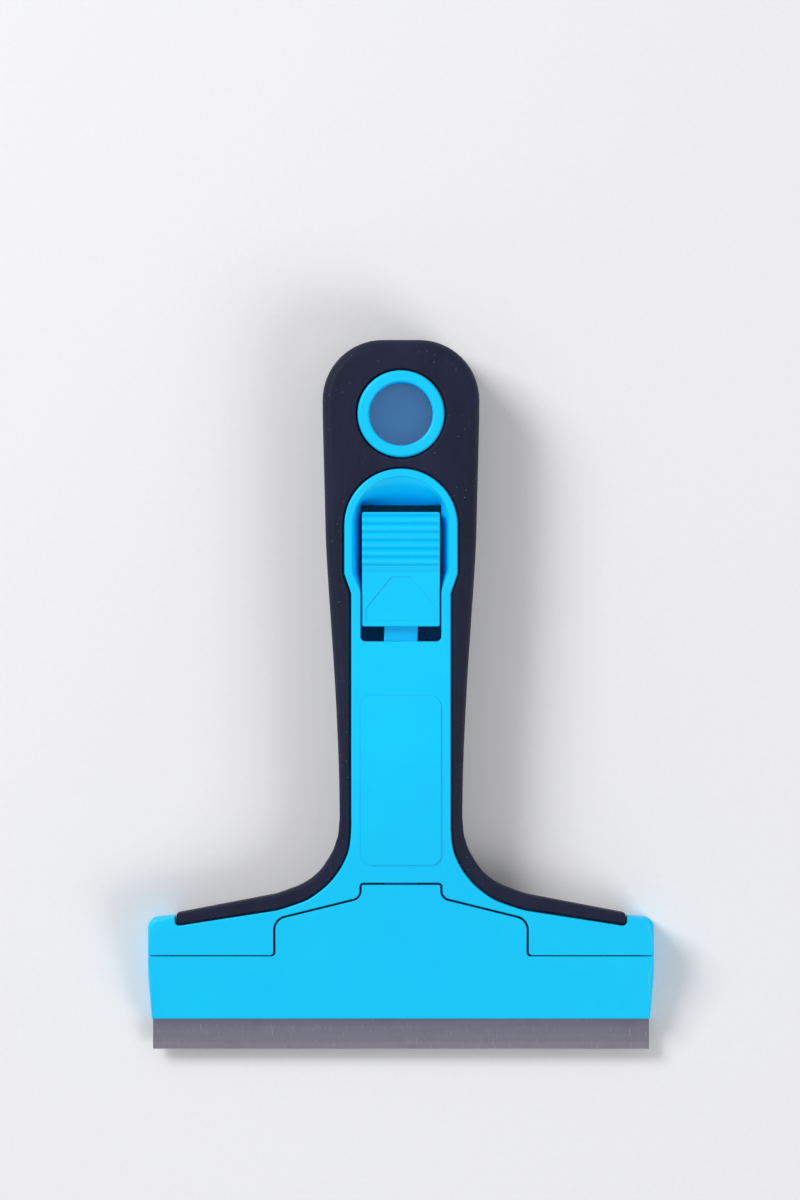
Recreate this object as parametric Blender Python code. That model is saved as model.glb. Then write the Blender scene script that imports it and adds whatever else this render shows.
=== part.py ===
"""A hand scraper with a button that opens its blade clamp, lying on its back, front face up.

Lengths are in metres. X runs along the cutting edge, +Y towards the end that hangs on a nail.
A station is a distance from the cutting edge along +Y. Outlines list the right half only.
"""

import math

import bmesh
import bpy
from mathutils import Matrix, Vector

# Fits and working values shared by every piece
seat_gap = 0.0003
hidden_gap = 0.0004
blade_seat_gap = 0.0002
overrun = 0.004
merge_distance = 0.000002
flat_angle = math.radians(0.1)
arc_step = math.radians(15)
round_sides = 24
small_round_sides = 12
edge_rings = 2

# Side profile: a flat back, a wedge head and a nearly level handle
overall_length = 0.1427
handle_thickness = 0.017
lip_station = 0.0061
lip_height = 0.0049
slope_end_height = 0.012
slope_end_behind_tongue = 0.00285
crest_start_behind_slope = 0.0287
crest_end_to_end = 0.0307
end_drop = 0.0016
profile_spacing = 0.0048

# Head outline
head_half_width = 0.0509
head_taper = 0.0007
taper_station = 0.0145
head_back_behind_seam = 0.0082
head_back_rise = 0.0004
head_corner_radius = 0.0021
head_edge_round = 0.0014
lip_edge_round = 0.0004
seam_edge_round = 0.00015

# Soft grip outline
end_flat_half_width = 0.0037
end_corner_radius = 0.0121
neck_half_width = 0.0123
neck_behind_slope = 0.0137
grip_foot_beyond_tongue = 0.0001
grip_foot_behind_head = 0.0043
strip_end_inset = 0.00545
strip_end_behind_head = 0.0005
side_curve_steps = 2
neck_swell_shares = ((0.0, 0.0), (0.13, 0.057), (0.33, 0.286), (0.62, 0.743), (0.76, 0.85), (1.0, 1.0))
outer_flare_shares = (
    (1.0, 0.0), (0.736, 0.076), (0.628, 0.111), (0.498, 0.169), (0.39, 0.236), (0.284, 0.325),
    (0.195, 0.433), (0.107, 0.56), (0.054, 0.688), (0.023, 0.783), (0.0, 1.0),
)

# Soft grip section
grip_wall = 0.0016
grip_depth = 0.0026
grip_drop = 0.0004
grip_floor_height = 0.0006
grip_face_round = 0.003
grip_back_round = 0.002
strip_edge_round = 0.0009

# Blue front outline inside the grip
neck_strip_width = 0.00233
spine_behind_slope = 0.0117
shell_foot_inside_tongue = 0.00025
shell_foot_behind_head = 0.0011
shoulder_depth = 0.0061
strip_corner_radius = 0.0009
bulb_side_width = 0.00325
bulb_to_end = 0.0259
bulb_length = 0.025
bulb_taper_length = 0.004
spine_edge_round = 0.0004
inner_flare_shares = (
    (1.0, 0.0), (0.674, 0.095), (0.548, 0.148), (0.425, 0.225), (0.326, 0.299), (0.233, 0.39),
    (0.156, 0.485), (0.096, 0.58), (0.04, 0.704), (0.013, 0.834), (0.0, 1.0),
)

# Rear body
back_plate = 0.0022
body_wall = 0.0018
back_edge_round = 0.0008
blade_seat_height = 0.0023
stop_height = 0.0034
stop_depth = 0.0011
stop_step = 0.0003
front_wall = 0.0014
shell_depth = 0.0046
pocket_depth = 0.0078
pocket_side_gap = 0.00065

# Hanging ring
ring_to_end = 0.0149
ring_outer_radius = 0.0087
ring_hole_radius = 0.00635
ring_chamfer = 0.0007
ring_edge_chamfer = 0.0003

# Front shell
shell_wall = 0.0018
flange_inset = 0.0002
bulb_solid_lead = 0.0023
bulb_solid_depth = 0.007
rim_width = 0.0016
dish_end_depth = 0.006
dish_curve_share = 1.6
dish_floor_round = 0.0008
window_side_gap = 0.0003
window_front_gap = 0.003
window_back_gap = 0.0014
window_corner_radius = 0.001
panel_side_margin = 0.00192
panel_behind_slope = 0.004
panel_to_button = 0.0138
panel_corner_radius = 0.0022
panel_depth = 0.0003

# Jaw and its lever
seam_behind_blade = 0.0008
seam_gap = 0.00035
tongue_gap = 0.00045
tongue_draft = 0.0008
tongue_half_width = 0.02525
tongue_side_length = 0.00734
tongue_neck_half_width = 0.0079
tongue_slope_length = 0.00431
tongue_inner_radius = 0.0008
tongue_outer_radius = 0.0024
tongue_curve_radius = 0.002
tongue_tip_radius = 0.0004
jaw_skin = 0.0028
jaw_step = 0.0003
arm_half_width = 0.0034
arm_drop = 0.0024
arm_depth = 0.0046
arm_root_depth = 0.004
arm_overlap = 0.0028

# Button
button_half_width = 0.0078
button_length = 0.0229
button_to_bulb = 0.0087
button_sink = 0.0005
button_skirt = 0.0055
button_corner_radius = 0.0005
button_edge_round = 0.0003
button_wall = 0.0016
button_top_thickness = 0.0026
ridge_height = 0.00105
ridge_depth = 0.00045
ridge_pitch = 0.00166
ridge_count = 6
ridge_steps = 6
ridge_fall = 0.0016
label_side_margin = 0.0007
label_front_margin = 0.0011
label_side_length = 0.0026
label_length = 0.0089
label_top_half_width = 0.002
label_height = 0.00015
label_edge_round = 0.0001

# Hinge pin
pin_behind_seam = 0.0036
pin_height = 0.0054
pin_radius = 0.00125
pin_clearance = 0.0002
pin_end_reach = 0.00005
knuckle_radius = 0.0026
knuckle_side_gap = 0.00025
post_width = 0.003
post_half_depth = 0.0022
post_side_gap = 0.0012

# Return spring
spring_to_button_back = 0.0101
spring_radius = 0.0032
spring_wire_radius = 0.0003
spring_turns = 6
spring_points_per_turn = 12
spring_seat_radius = 0.0021
spring_seat_height = 0.002

# Blade
blade_side_inset = 0.0002
blade_depth = 0.018
blade_thickness = 0.0005
blade_grind = 0.0013
blade_edge_thickness = 0.00008
slot_spacing = 0.0474
slot_length = 0.007
slot_width = 0.003
lug_clearance = 0.0003
lug_rise = 0.0003
lug_pocket_clearance = 0.0005

# Self-tapping screws, driven from the back
screw_head_radius = 0.0019
screw_head_height = 0.0012
screw_shank_radius = 0.0011
screw_recess_radius = 0.0007
screw_recess_depth = 0.0007
screw_clearance = 0.0002
screw_boss_wall = 0.0009
boss_relief = 0.0002
screw_bite = 0.0029
handle_screw_length = 0.0065
head_screw_length = 0.0045
screw_pair_inset = 0.00307
upper_screw_to_button = 0.0082
lower_screw_behind_slope = 0.0072
shoulder_screw_offset = 0.0022
shoulder_screw_behind_seam = 0.0038

# Stations of the head, counted back from the blade
middle_station = overall_length / 2
stop_front_station = blade_depth + seat_gap
wall_front_station = stop_front_station + stop_depth
seam_station = blade_depth + seam_behind_blade
shoulder_front_station = seam_station + seam_gap
pin_station = seam_station + pin_behind_seam
shoulder_screw_station = seam_station + shoulder_screw_behind_seam
strip_inner_station = seam_station + shoulder_depth
head_back_station = seam_station + head_back_behind_seam
strip_end_station = head_back_station + strip_end_behind_head
shell_foot_station = head_back_station + shell_foot_behind_head
grip_foot_station = head_back_station + grip_foot_behind_head
tongue_slope_station = seam_station + tongue_side_length
tongue_neck_station = tongue_slope_station + tongue_slope_length
slope_end_station = tongue_neck_station + slope_end_behind_tongue

# Stations of the neck, counted back from the end of the slope
panel_front_station = slope_end_station + panel_behind_slope
lower_screw_station = slope_end_station + lower_screw_behind_slope
spine_station = slope_end_station + spine_behind_slope
neck_station = slope_end_station + neck_behind_slope
crest_start_station = slope_end_station + crest_start_behind_slope

# Stations of the handle, counted forward from the hanging end
ring_station = overall_length - ring_to_end
crest_end_station = overall_length - crest_end_to_end
bulb_top_station = overall_length - bulb_to_end
bulb_start_station = bulb_top_station - bulb_length
bulb_full_station = bulb_start_station + bulb_taper_length
bulb_solid_station = bulb_start_station - bulb_solid_lead
button_back_station = bulb_top_station - button_to_bulb
button_front_station = button_back_station - button_length
ridges_start_station = button_back_station - ridge_pitch * (2 * ridge_count + 1) / 2
window_back_station = button_back_station + window_back_gap
window_front_station = button_front_station - window_front_gap
spring_station = button_back_station - spring_to_button_back
label_front_station = button_front_station + label_front_margin
label_side_station = label_front_station + label_side_length
label_back_station = label_front_station + label_length
upper_screw_station = button_front_station - upper_screw_to_button
panel_back_station = button_front_station - panel_to_button

# Half widths
lip_half_width = head_half_width - head_taper
blade_half_width = lip_half_width - blade_side_inset
strip_end_half_width = head_half_width - strip_end_inset
shell_foot_half_width = tongue_half_width - shell_foot_inside_tongue
grip_foot_half_width = tongue_half_width + grip_foot_beyond_tongue
post_inner = tongue_half_width + post_side_gap
pin_half_length = post_inner + post_width + pin_end_reach
shoulder_screw_half_spacing = (pin_half_length + head_half_width) / 2 - shoulder_screw_offset
spine_half_width = neck_half_width - neck_strip_width
panel_half_width = spine_half_width - panel_side_margin
screw_pair_half_spacing = spine_half_width - screw_pair_inset
window_half_width = button_half_width + window_side_gap
bulb_half_width = window_half_width + bulb_side_width
label_half_width = button_half_width - label_side_margin

# Heights and radii
head_slope = (slope_end_height - lip_height) / (slope_end_station - lip_station)
blade_floor = blade_seat_height + blade_seat_gap
blade_top = blade_floor + blade_thickness
jaw_floor = blade_top + blade_seat_gap
button_flat_height = handle_thickness - button_sink
button_floor_height = handle_thickness - button_skirt
button_end_height = button_flat_height + ridge_height
spring_floor = back_plate + seat_gap + spring_wire_radius
spring_ceiling = button_flat_height - button_top_thickness - seat_gap - spring_wire_radius
well_radius = screw_head_radius + screw_clearance
boss_radius = well_radius + screw_boss_wall
screw_hole_radius = screw_shank_radius + screw_clearance
shell_boss_radius = screw_hole_radius + screw_boss_wall
blank_height = 2 * handle_thickness


def clear_scene():
    for item in list(bpy.data.objects):
        bpy.data.objects.remove(item, do_unlink=True)


def finish(name, colour, roughness, metallic):
    material = bpy.data.materials.new(name)
    material.use_nodes = True
    shader = material.node_tree.nodes["Principled BSDF"]
    shader.inputs["Base Color"].default_value = (*colour, 1)
    shader.inputs["Roughness"].default_value = roughness
    shader.inputs["Metallic"].default_value = metallic
    material.diffuse_color = (*colour, 1)
    return material


# The side profile

def face_height(station):
    """Height of the blue front face over the back."""
    if station <= slope_end_station:
        return lip_height + head_slope * (station - lip_station)
    if station < crest_start_station:
        run = crest_start_station - slope_end_station
        share = (station - slope_end_station) / run
        rise = handle_thickness - slope_end_height
        eased = share * share * (3 - 2 * share)
        lead = share * (1 - share) ** 2
        return slope_end_height + rise * eased + head_slope * run * lead
    if station <= crest_end_station:
        return handle_thickness
    share = (station - crest_end_station) / (overall_length - crest_end_station)
    return handle_thickness - end_drop * share * share


def split_height(station):
    """Height of the joint between the rear body and the front shell."""
    return face_height(station) - shell_depth


def level(height):
    return lambda station: height


def below_face(depth):
    return lambda station: face_height(station) - depth


def stepped(start, stop, before, after):
    """A height that changes from one profile to another between two stations."""
    def height(station):
        share = min(max((station - start) / (stop - start), 0), 1)
        return before(station) * (1 - share) + after(station) * share
    return height


def profile_stations(start, stop):
    """Stations where a surface that follows the side profile needs an edge across."""
    marks = [lip_station, slope_end_station, crest_start_station, crest_end_station]
    for low, high in ((slope_end_station, crest_start_station), (crest_end_station, overall_length)):
        count = math.ceil((high - low) / profile_spacing)
        marks += [low + (high - low) * index / count for index in range(1, count)]
    return [mark for mark in marks if start < mark < stop]


# Outlines: lists of corners (half width, station, corner radius), front to back

def mirrored(corner):
    return (-corner[0], corner[1], corner[2])


def neighbours(half, index):
    before = half[index - 1] if index else mirrored(half[0])
    if index + 1 < len(half):
        after = half[index + 1]
    elif half[index][0] > 0:
        after = mirrored(half[index])
    else:
        after = mirrored(half[index - 1])
    return Vector(before[:2]), Vector(half[index][:2]), Vector(after[:2])


def mitre(before, here, after):
    """The move of a corner when both its sides move outwards by one unit."""
    first = (here - before).normalized()
    second = (after - here).normalized()
    out_first = Vector((first.y, -first.x))
    out_second = Vector((second.y, -second.x))
    return (out_first + out_second) / (1 + out_first.dot(out_second))


def grown(half, amount):
    """The outline moved outwards by an amount, inwards if it is negative."""
    found = []
    for index, corner in enumerate(half):
        before, here, after = neighbours(half, index)
        move = mitre(before, here, after) * amount
        turn = (here - before).cross(after - here)
        radius = corner[2] + (amount if turn > 0 else -amount) if corner[2] else 0
        place = here + move
        on_axis = corner[0] == 0
        found.append((0 if on_axis else place.x, place.y, max(radius, 0)))
    return found


def traced(half):
    """The outline's points, with an arc at each corner that has a radius."""
    points = []
    for index, corner in enumerate(half):
        before, here, after = neighbours(half, index)
        if not corner[2]:
            points.append(here)
            continue
        back = (before - here).normalized()
        ahead = (after - here).normalized()
        angle = back.angle(ahead)
        reach = min(corner[2] / math.tan(angle / 2), (before - here).length / 2, (after - here).length / 2)
        radius = reach * math.tan(angle / 2)
        centre = here + (back + ahead).normalized() * radius / math.sin(angle / 2)
        start = here + back * reach - centre
        turn = start.angle_signed(here + ahead * reach - centre)
        count = max(2, math.ceil(abs(turn) / arc_step))
        for step in range(count + 1):
            points.append(centre + Matrix.Rotation(-turn * step / count, 2) @ start)
    return [(point.x, point.y) for point in points]


def clipped(points, low, high):
    """The part of a half outline between two stations."""
    for limit, keep_above in ((low, True), (high, False)):
        kept = []
        for index, (x, station) in enumerate(points):
            inside = station >= limit if keep_above else station <= limit
            if index:
                last_x, last_station = points[index - 1]
                if (last_station - limit) * (station - limit) < 0:
                    share = (limit - last_station) / (station - last_station)
                    kept.append((last_x + (x - last_x) * share, limit))
            if inside:
                kept.append((x, station))
        points = kept
    return points


def smoothed(points, smooth_steps):
    """More points on a smooth curve through the given ones."""
    found = []
    for index in range(len(points) - 1):
        first = Vector(points[max(index - 1, 0)])
        second, third = Vector(points[index]), Vector(points[index + 1])
        fourth = Vector(points[min(index + 2, len(points) - 1)])
        for step in range(smooth_steps):
            share = step / smooth_steps
            near = (third - first) / 2
            far = (fourth - second) / 2
            cube, square = share ** 3, share ** 2
            found.append(
                second * (2 * cube - 3 * square + 1) + near * (cube - 2 * square + share)
                + third * (3 * square - 2 * cube) + far * (cube - square)
            )
    return [tuple(point) for point in found] + [tuple(points[-1])]


def flare(foot_half_width, foot_station, top_half_width, top_station, shares):
    """The curve from a shoulder's foot up to the neck."""
    run = foot_half_width - top_half_width
    rise = top_station - foot_station
    points = [(top_half_width + run * across, foot_station + rise * along) for across, along in shares]
    return [(x, station, 0) for x, station in points]


def grip_corners():
    """Outside of the soft grip, from the end of its shoulder strip to the hanging end."""
    widest = end_flat_half_width + end_corner_radius
    run = overall_length - end_corner_radius - neck_station
    swell = widest - neck_half_width
    side = [(neck_half_width + swell * out, neck_station + run * along) for along, out in neck_swell_shares]
    corners = [(strip_end_half_width, strip_end_station, 0)]
    corners += flare(
        grip_foot_half_width, grip_foot_station, neck_half_width, neck_station, outer_flare_shares
    )
    corners += [(x, station, 0) for x, station in smoothed(side, side_curve_steps)[1:-1]]
    corners.append((widest, overall_length, end_corner_radius))
    return corners


def head_corners():
    """The head's front corners and sides, shared by the body, the shell and the jaw."""
    return [(lip_half_width, lip_station, 0), (head_half_width, taper_station, 0)]


def head_back_corners():
    return [
        (head_half_width, head_back_station - head_back_rise, head_corner_radius),
        (strip_end_half_width, head_back_station, 0),
    ]


def body_corners():
    """The rear body: the head, then the grip's outline less the grip's thickness."""
    inner = grown(grip_corners(), -(grip_wall + seat_gap))[1:]
    foot_x, foot_station, _ = inner[0]
    slope = (grip_foot_station - strip_end_station) / (strip_end_half_width - grip_foot_half_width)
    notch = foot_station - slope * (strip_end_half_width - foot_x)
    return head_corners() + head_back_corners() + [(strip_end_half_width, notch, 0)] + inner


def front_corners():
    """The blue front: the head, the shoulders inside the strip, the spine and the button bulb."""
    corners = head_corners() + head_back_corners()
    corners.append((strip_end_half_width, strip_inner_station, strip_corner_radius))
    corners += flare(
        shell_foot_half_width, shell_foot_station, spine_half_width, spine_station, inner_flare_shares
    )
    corners.append((spine_half_width, bulb_start_station, rim_width))
    corners.append((bulb_half_width, bulb_full_station, rim_width))
    corners.append((bulb_half_width, bulb_top_station, bulb_half_width))
    return corners


def tongue_corners():
    return [
        (tongue_half_width, tongue_slope_station, tongue_outer_radius),
        (tongue_neck_half_width, tongue_neck_station, tongue_curve_radius),
        (tongue_neck_half_width, slope_end_station, tongue_tip_radius),
    ]


def jaw_corners():
    shoulder = [
        (head_half_width, seam_station, tongue_tip_radius),
        (tongue_half_width, seam_station, tongue_inner_radius),
    ]
    return head_corners() + shoulder + tongue_corners()


def block_corners(half_width, front, back, radius):
    return [(half_width, front, radius), (half_width, back, radius)]


# Solids

def new_object(name, mesh_builder, material=None):
    mesh = bpy.data.meshes.new(name)
    bmesh.ops.recalc_face_normals(mesh_builder, faces=mesh_builder.faces)
    mesh_builder.to_mesh(mesh)
    mesh_builder.free()
    made = bpy.data.objects.new(name, mesh)
    bpy.context.scene.collection.objects.link(made)
    if material:
        mesh.materials.append(material)
    return made


def ring_of(builder, points, insets, height):
    """One closed loop of points at a height, each moved in by its own inset."""
    count = len(points)
    loop = []
    for index, point in enumerate(points):
        move = mitre(points[index - 1], point, points[(index + 1) % count]) * -insets[index]
        place = point + move
        loop.append(builder.verts.new((place.x, place.y - middle_station, height)))
    return loop


def edge_rounds(points, edge):
    if callable(edge):
        return [edge(abs(point.x), point.y) for point in points]
    return [edge] * len(points)


def moulding(name, half, floor, face, floor_edge=0, face_edge=0, draft=0, marks=(), material=None):
    """A solid over an outline, between two heights that follow the station, with rounded edges.

    A draft widens its floor all round.
    """
    right = [Vector(point) for point in half]
    left = [Vector((-x, station)) for x, station in reversed(half) if x > 0]
    points = right + left
    below, above = edge_rounds(points, floor_edge), edge_rounds(points, face_edge)
    builder = bmesh.new()
    loops = []
    rings = edge_rings if floor_edge else 0
    for step in range(rings + 1):
        angle = math.pi / 2 * (step / rings if rings else 1)
        insets = [size * (1 - math.sin(angle)) - draft for size in below]
        loop = ring_of(builder, points, insets, 0)
        for vertex, size in zip(loop, below):
            vertex.co.z = size * (1 - math.cos(angle))
        loops.append(loop)
    rings = edge_rings if face_edge else 0
    for step in range(rings + 1):
        angle = math.pi / 2 * (1 - step / rings if rings else 1)
        insets = [size * (1 - math.sin(angle)) for size in above]
        loop = ring_of(builder, points, insets, 0)
        for vertex, size in zip(loop, above):
            vertex.co.z = blank_height - size * (1 - math.cos(angle))
        loops.append(loop)
    builder.faces.new(reversed(loops[0]))
    builder.faces.new(loops[-1])
    for lower, upper in zip(loops, loops[1:]):
        for index in range(len(points)):
            following = (index + 1) % len(points)
            builder.faces.new((lower[index], lower[following], upper[following], upper[index]))
    for mark in marks:
        geometry = builder.verts[:] + builder.edges[:] + builder.faces[:]
        place = (0, mark - middle_station, 0)
        bmesh.ops.bisect_plane(builder, geom=geometry, plane_co=place, plane_no=(0, 1, 0))
    bmesh.ops.triangulate(builder, faces=builder.faces)
    for vertex in builder.verts:
        station = vertex.co.y + middle_station
        if vertex.co.z > blank_height / 2:
            vertex.co.z += face(station) - blank_height
        else:
            vertex.co.z += floor(station)
    return new_object(name, builder, material)


def box(name, x_low, x_high, front, back, low, high):
    builder = bmesh.new()
    bmesh.ops.create_cube(builder, size=1)
    size = Vector((x_high - x_low, back - front, high - low))
    centre = Vector(((x_low + x_high) / 2, (front + back) / 2 - middle_station, (low + high) / 2))
    bmesh.ops.scale(builder, vec=size, verts=builder.verts)
    bmesh.ops.translate(builder, vec=centre, verts=builder.verts)
    return new_object(name, builder)


def cylinder(name, radius, x, station, low, high, sides=small_round_sides):
    builder = bmesh.new()
    bmesh.ops.create_cone(
        builder, cap_ends=True, segments=sides, radius1=radius, radius2=radius, depth=high - low
    )
    centre = Vector((x, station - middle_station, (low + high) / 2))
    bmesh.ops.translate(builder, vec=centre, verts=builder.verts)
    return new_object(name, builder)


def cross_cylinder(name, radius, half_length, sides=round_sides):
    """A cylinder along the hinge axis."""
    builder = bmesh.new()
    bmesh.ops.create_cone(
        builder, cap_ends=True, segments=sides, radius1=radius, radius2=radius, depth=2 * half_length
    )
    bmesh.ops.rotate(builder, matrix=Matrix.Rotation(math.pi / 2, 3, "Y"), verts=builder.verts)
    centre = Vector((0, pin_station - middle_station, pin_height))
    bmesh.ops.translate(builder, vec=centre, verts=builder.verts)
    return new_object(name, builder)


def turned(name, profile, x, station, sides=round_sides, material=None):
    """A closed profile (radius, height) turned about a vertical axis."""
    builder = bmesh.new()
    vertices = [builder.verts.new((radius, 0, height)) for radius, height in profile]
    edges = [builder.edges.new((vertices[index - 1], vertices[index])) for index in range(len(vertices))]
    on_axis = profile[0][0] == 0
    if on_axis:
        builder.edges.remove(edges[0])
        edges = edges[1:]
    bmesh.ops.spin(
        builder, geom=vertices + edges, cent=(0, 0, 0), axis=(0, 0, 1), angle=2 * math.pi, steps=sides,
        use_merge=True,
    )
    bmesh.ops.remove_doubles(builder, verts=builder.verts, dist=merge_distance)
    centre = Vector((x, station - middle_station, 0))
    bmesh.ops.translate(builder, vec=centre, verts=builder.verts)
    return new_object(name, builder, material)


def gathered(name, pieces):
    """Separate shapes in one object, to cut or to add at once."""
    builder = bmesh.new()
    for piece in pieces:
        builder.from_mesh(piece.data)
        bpy.data.objects.remove(piece, do_unlink=True)
    return new_object(name, builder)


def combine(target, tool, operation):
    modifier = target.modifiers.new(tool.name, "BOOLEAN")
    modifier.operation = operation
    modifier.object = tool
    tool.hide_render = True
    tool.display_type = "WIRE"


def cut(target, *tools):
    for tool in tools:
        combine(target, tool, "DIFFERENCE")


def add(target, *tools):
    for tool in tools:
        combine(target, tool, "UNION")


def tidy(target):
    """Joins the triangles that lie in one plane."""
    modifier = target.modifiers.new("flat_faces", "DECIMATE")
    modifier.decimate_type = "DISSOLVE"
    modifier.angle_limit = flat_angle
    return target


def both_sides(make, half_spacing):
    return [make(side * half_spacing) for side in (1, -1)]


# Screw places: half spacing, station, screw length

def screw_places():
    pairs = (
        (screw_pair_half_spacing, upper_screw_station, handle_screw_length),
        (screw_pair_half_spacing, lower_screw_station, handle_screw_length),
        (shoulder_screw_half_spacing, shoulder_screw_station, head_screw_length),
    )
    return [(side * x, station, length) for x, station, length in pairs for side in (1, -1)]


def boss_top(station):
    return split_height(station - boss_radius) - seat_gap / 2


def screw_seat(station, length):
    """Height of the underside of a screw's head."""
    return boss_top(station) + screw_bite - length


# Rear body

def body_top():
    seat, stop = level(blade_seat_height), level(stop_height)
    rise = stepped(stop_front_station, stop_front_station + stop_step, seat, stop)
    rim = below_face(shell_depth + seat_gap / 2)
    return stepped(wall_front_station, wall_front_station + stop_step, rise, rim)


def body_cavity():
    inner = traced(grown(body_corners(), -body_wall))
    start = wall_front_station + stop_step + front_wall
    return moulding(
        "body_cavity", clipped(inner, start, overall_length), level(back_plate), level(handle_thickness)
    )


def knuckle_pocket():
    """Room in the rear body for the lever's knuckles and tongue."""
    half_width = tongue_half_width + pocket_side_gap
    return box(
        "knuckle_pocket", -half_width, half_width, wall_front_station, wall_front_station + pocket_depth,
        back_plate, handle_thickness
    )


def hanging_ring():
    top = face_height(ring_station)
    hole, outside = ring_hole_radius, ring_outer_radius
    profile = (
        (hole, ring_chamfer), (hole + ring_chamfer, 0), (outside, 0), (outside, top - ring_edge_chamfer),
        (outside - ring_edge_chamfer, top), (hole + ring_chamfer, top), (hole, top - ring_chamfer),
    )
    return turned("hanging_ring", profile, 0, ring_station)


def body_bosses():
    pieces = [
        cylinder("boss", boss_radius, x, station, back_plate / 2, boss_top(station))
        for x, station, length in screw_places()
    ]
    seat_top = back_plate + spring_seat_height
    pieces.append(cylinder("boss", spring_seat_radius, 0, spring_station, back_plate / 2, seat_top))
    return gathered("body_bosses", pieces)


def post_blocks(name, clearance, low, high):
    """A block on each side where the hinge pin ends, larger than the post by a clearance."""
    def block(side):
        ends = sorted((side * (post_inner - clearance), side * (post_inner + post_width + clearance)))
        reach = post_half_depth + clearance
        return box("block", *ends, pin_station - reach, pin_station + reach, low, high)
    return gathered(name, both_sides(block, 1))


def oblong(name, x, half_length, half_width, low, high):
    """A raised pad with round ends, as long as it is along X."""
    builder = bmesh.new()
    bmesh.ops.create_cone(
        builder, cap_ends=True, segments=small_round_sides, radius1=half_width, radius2=half_width,
        depth=high - low
    )
    for vertex in builder.verts:
        vertex.co.x += math.copysign(half_length - half_width, vertex.co.x)
    bmesh.ops.triangulate(builder, faces=builder.faces)
    centre = Vector((x, blade_depth / 2 - middle_station, (low + high) / 2))
    bmesh.ops.translate(builder, vec=centre, verts=builder.verts)
    return new_object(name, builder)


def oblong_pair(name, clearance, low, high):
    """Two oblongs on the blade's slots, smaller than them by a clearance all round."""
    half_length, half_width = slot_length / 2 - clearance, slot_width / 2 - clearance
    return gathered(name, both_sides(
        lambda x: oblong("oblong", x, half_length, half_width, low, high), slot_spacing / 2
    ))


def make_rear_body(material):
    corners = body_corners()
    marks = profile_stations(wall_front_station, overall_length)
    marks += [stop_front_station, stop_front_station + stop_step]
    marks += [wall_front_station, wall_front_station + stop_step]
    body = moulding(
        "core_body", traced(corners), level(0), body_top(), floor_edge=back_edge_round, marks=marks,
        material=material
    )
    cut(body, body_cavity(), knuckle_pocket())
    lugs = oblong_pair("blade_lugs", lug_clearance, back_plate / 2, blade_top + lug_rise)
    add(body, body_bosses(), post_blocks("pin_posts", 0, back_plate / 2, pin_height), lugs)
    ring_way = (ring_hole_radius + ring_outer_radius) / 2
    cut(body, cylinder("ring_way", ring_way, 0, ring_station, -overrun, handle_thickness, round_sides))
    add(body, hanging_ring())
    wells, holes = [], []
    for x, station, length in screw_places():
        seat = screw_seat(station, length) - seat_gap
        wells.append(cylinder("well", well_radius, x, station, -overrun, seat))
        holes.append(cylinder("hole", screw_hole_radius, x, station, -overrun, handle_thickness))
    cut(body, gathered("screw_wells", wells), gathered("screw_holes", holes))
    cut(body, cross_cylinder("pin_groove", pin_radius + pin_clearance, pin_half_length + overrun))
    return tidy(body)


# Front shell

def shell_edge(x, station):
    on_head = x > strip_end_half_width and station > shoulder_front_station
    return head_edge_round if on_head else spine_edge_round


def shell_flange():
    """The shell's foot, which runs out under the soft grip."""
    outline = traced(grown(body_corners(), -flange_inset))
    start = shoulder_front_station + flange_inset
    return moulding(
        "shell_flange", clipped(outline, start, overall_length), below_face(shell_depth - hidden_gap),
        below_face(grip_depth + seat_gap), marks=profile_stations(start, overall_length)
    )


def shell_cavity():
    inner = traced(grown(front_corners(), -shell_wall))
    start = shoulder_front_station + shell_wall
    half = clipped(inner, start, bulb_solid_station)
    return moulding(
        "shell_cavity", half, level(-overrun), below_face(shell_wall),
        marks=profile_stations(start, bulb_solid_station)
    )


def bulb_cavity():
    """The space under the bulb, which is solid near the front for the dish."""
    inner = traced(grown(front_corners(), -shell_wall))
    half = clipped(inner, bulb_solid_station - overrun, overall_length)
    return moulding("bulb_cavity", half, level(-overrun), level(handle_thickness - bulb_solid_depth))


def jaw_way():
    """Room for the jaw's tongue, wider below, where the tongue swings back as it goes down."""
    corners = [(tongue_half_width, lip_station, 0)] + tongue_corners()
    points = traced(grown(corners, tongue_gap))
    return moulding("jaw_way", points, level(-overrun), level(handle_thickness), draft=tongue_draft)


def dish():
    """A thumb scoop whose floor falls towards the button."""
    rim = grown(front_corners(), -rim_width)
    top = bulb_top_station - rim_width

    def floor(station):
        share = min(max((top - station) / (top - window_back_station), 0), 1)
        return face_height(station) - dish_end_depth * share ** dish_curve_share
    half = clipped(traced(rim), bulb_start_station + rim_width / 2, overall_length)
    count = ridge_steps
    marks = [window_back_station + (top - window_back_station) * step / count for step in range(count)]
    face = level(handle_thickness + overrun)
    return moulding("dish", half, floor, face, floor_edge=dish_floor_round, marks=marks)


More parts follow.
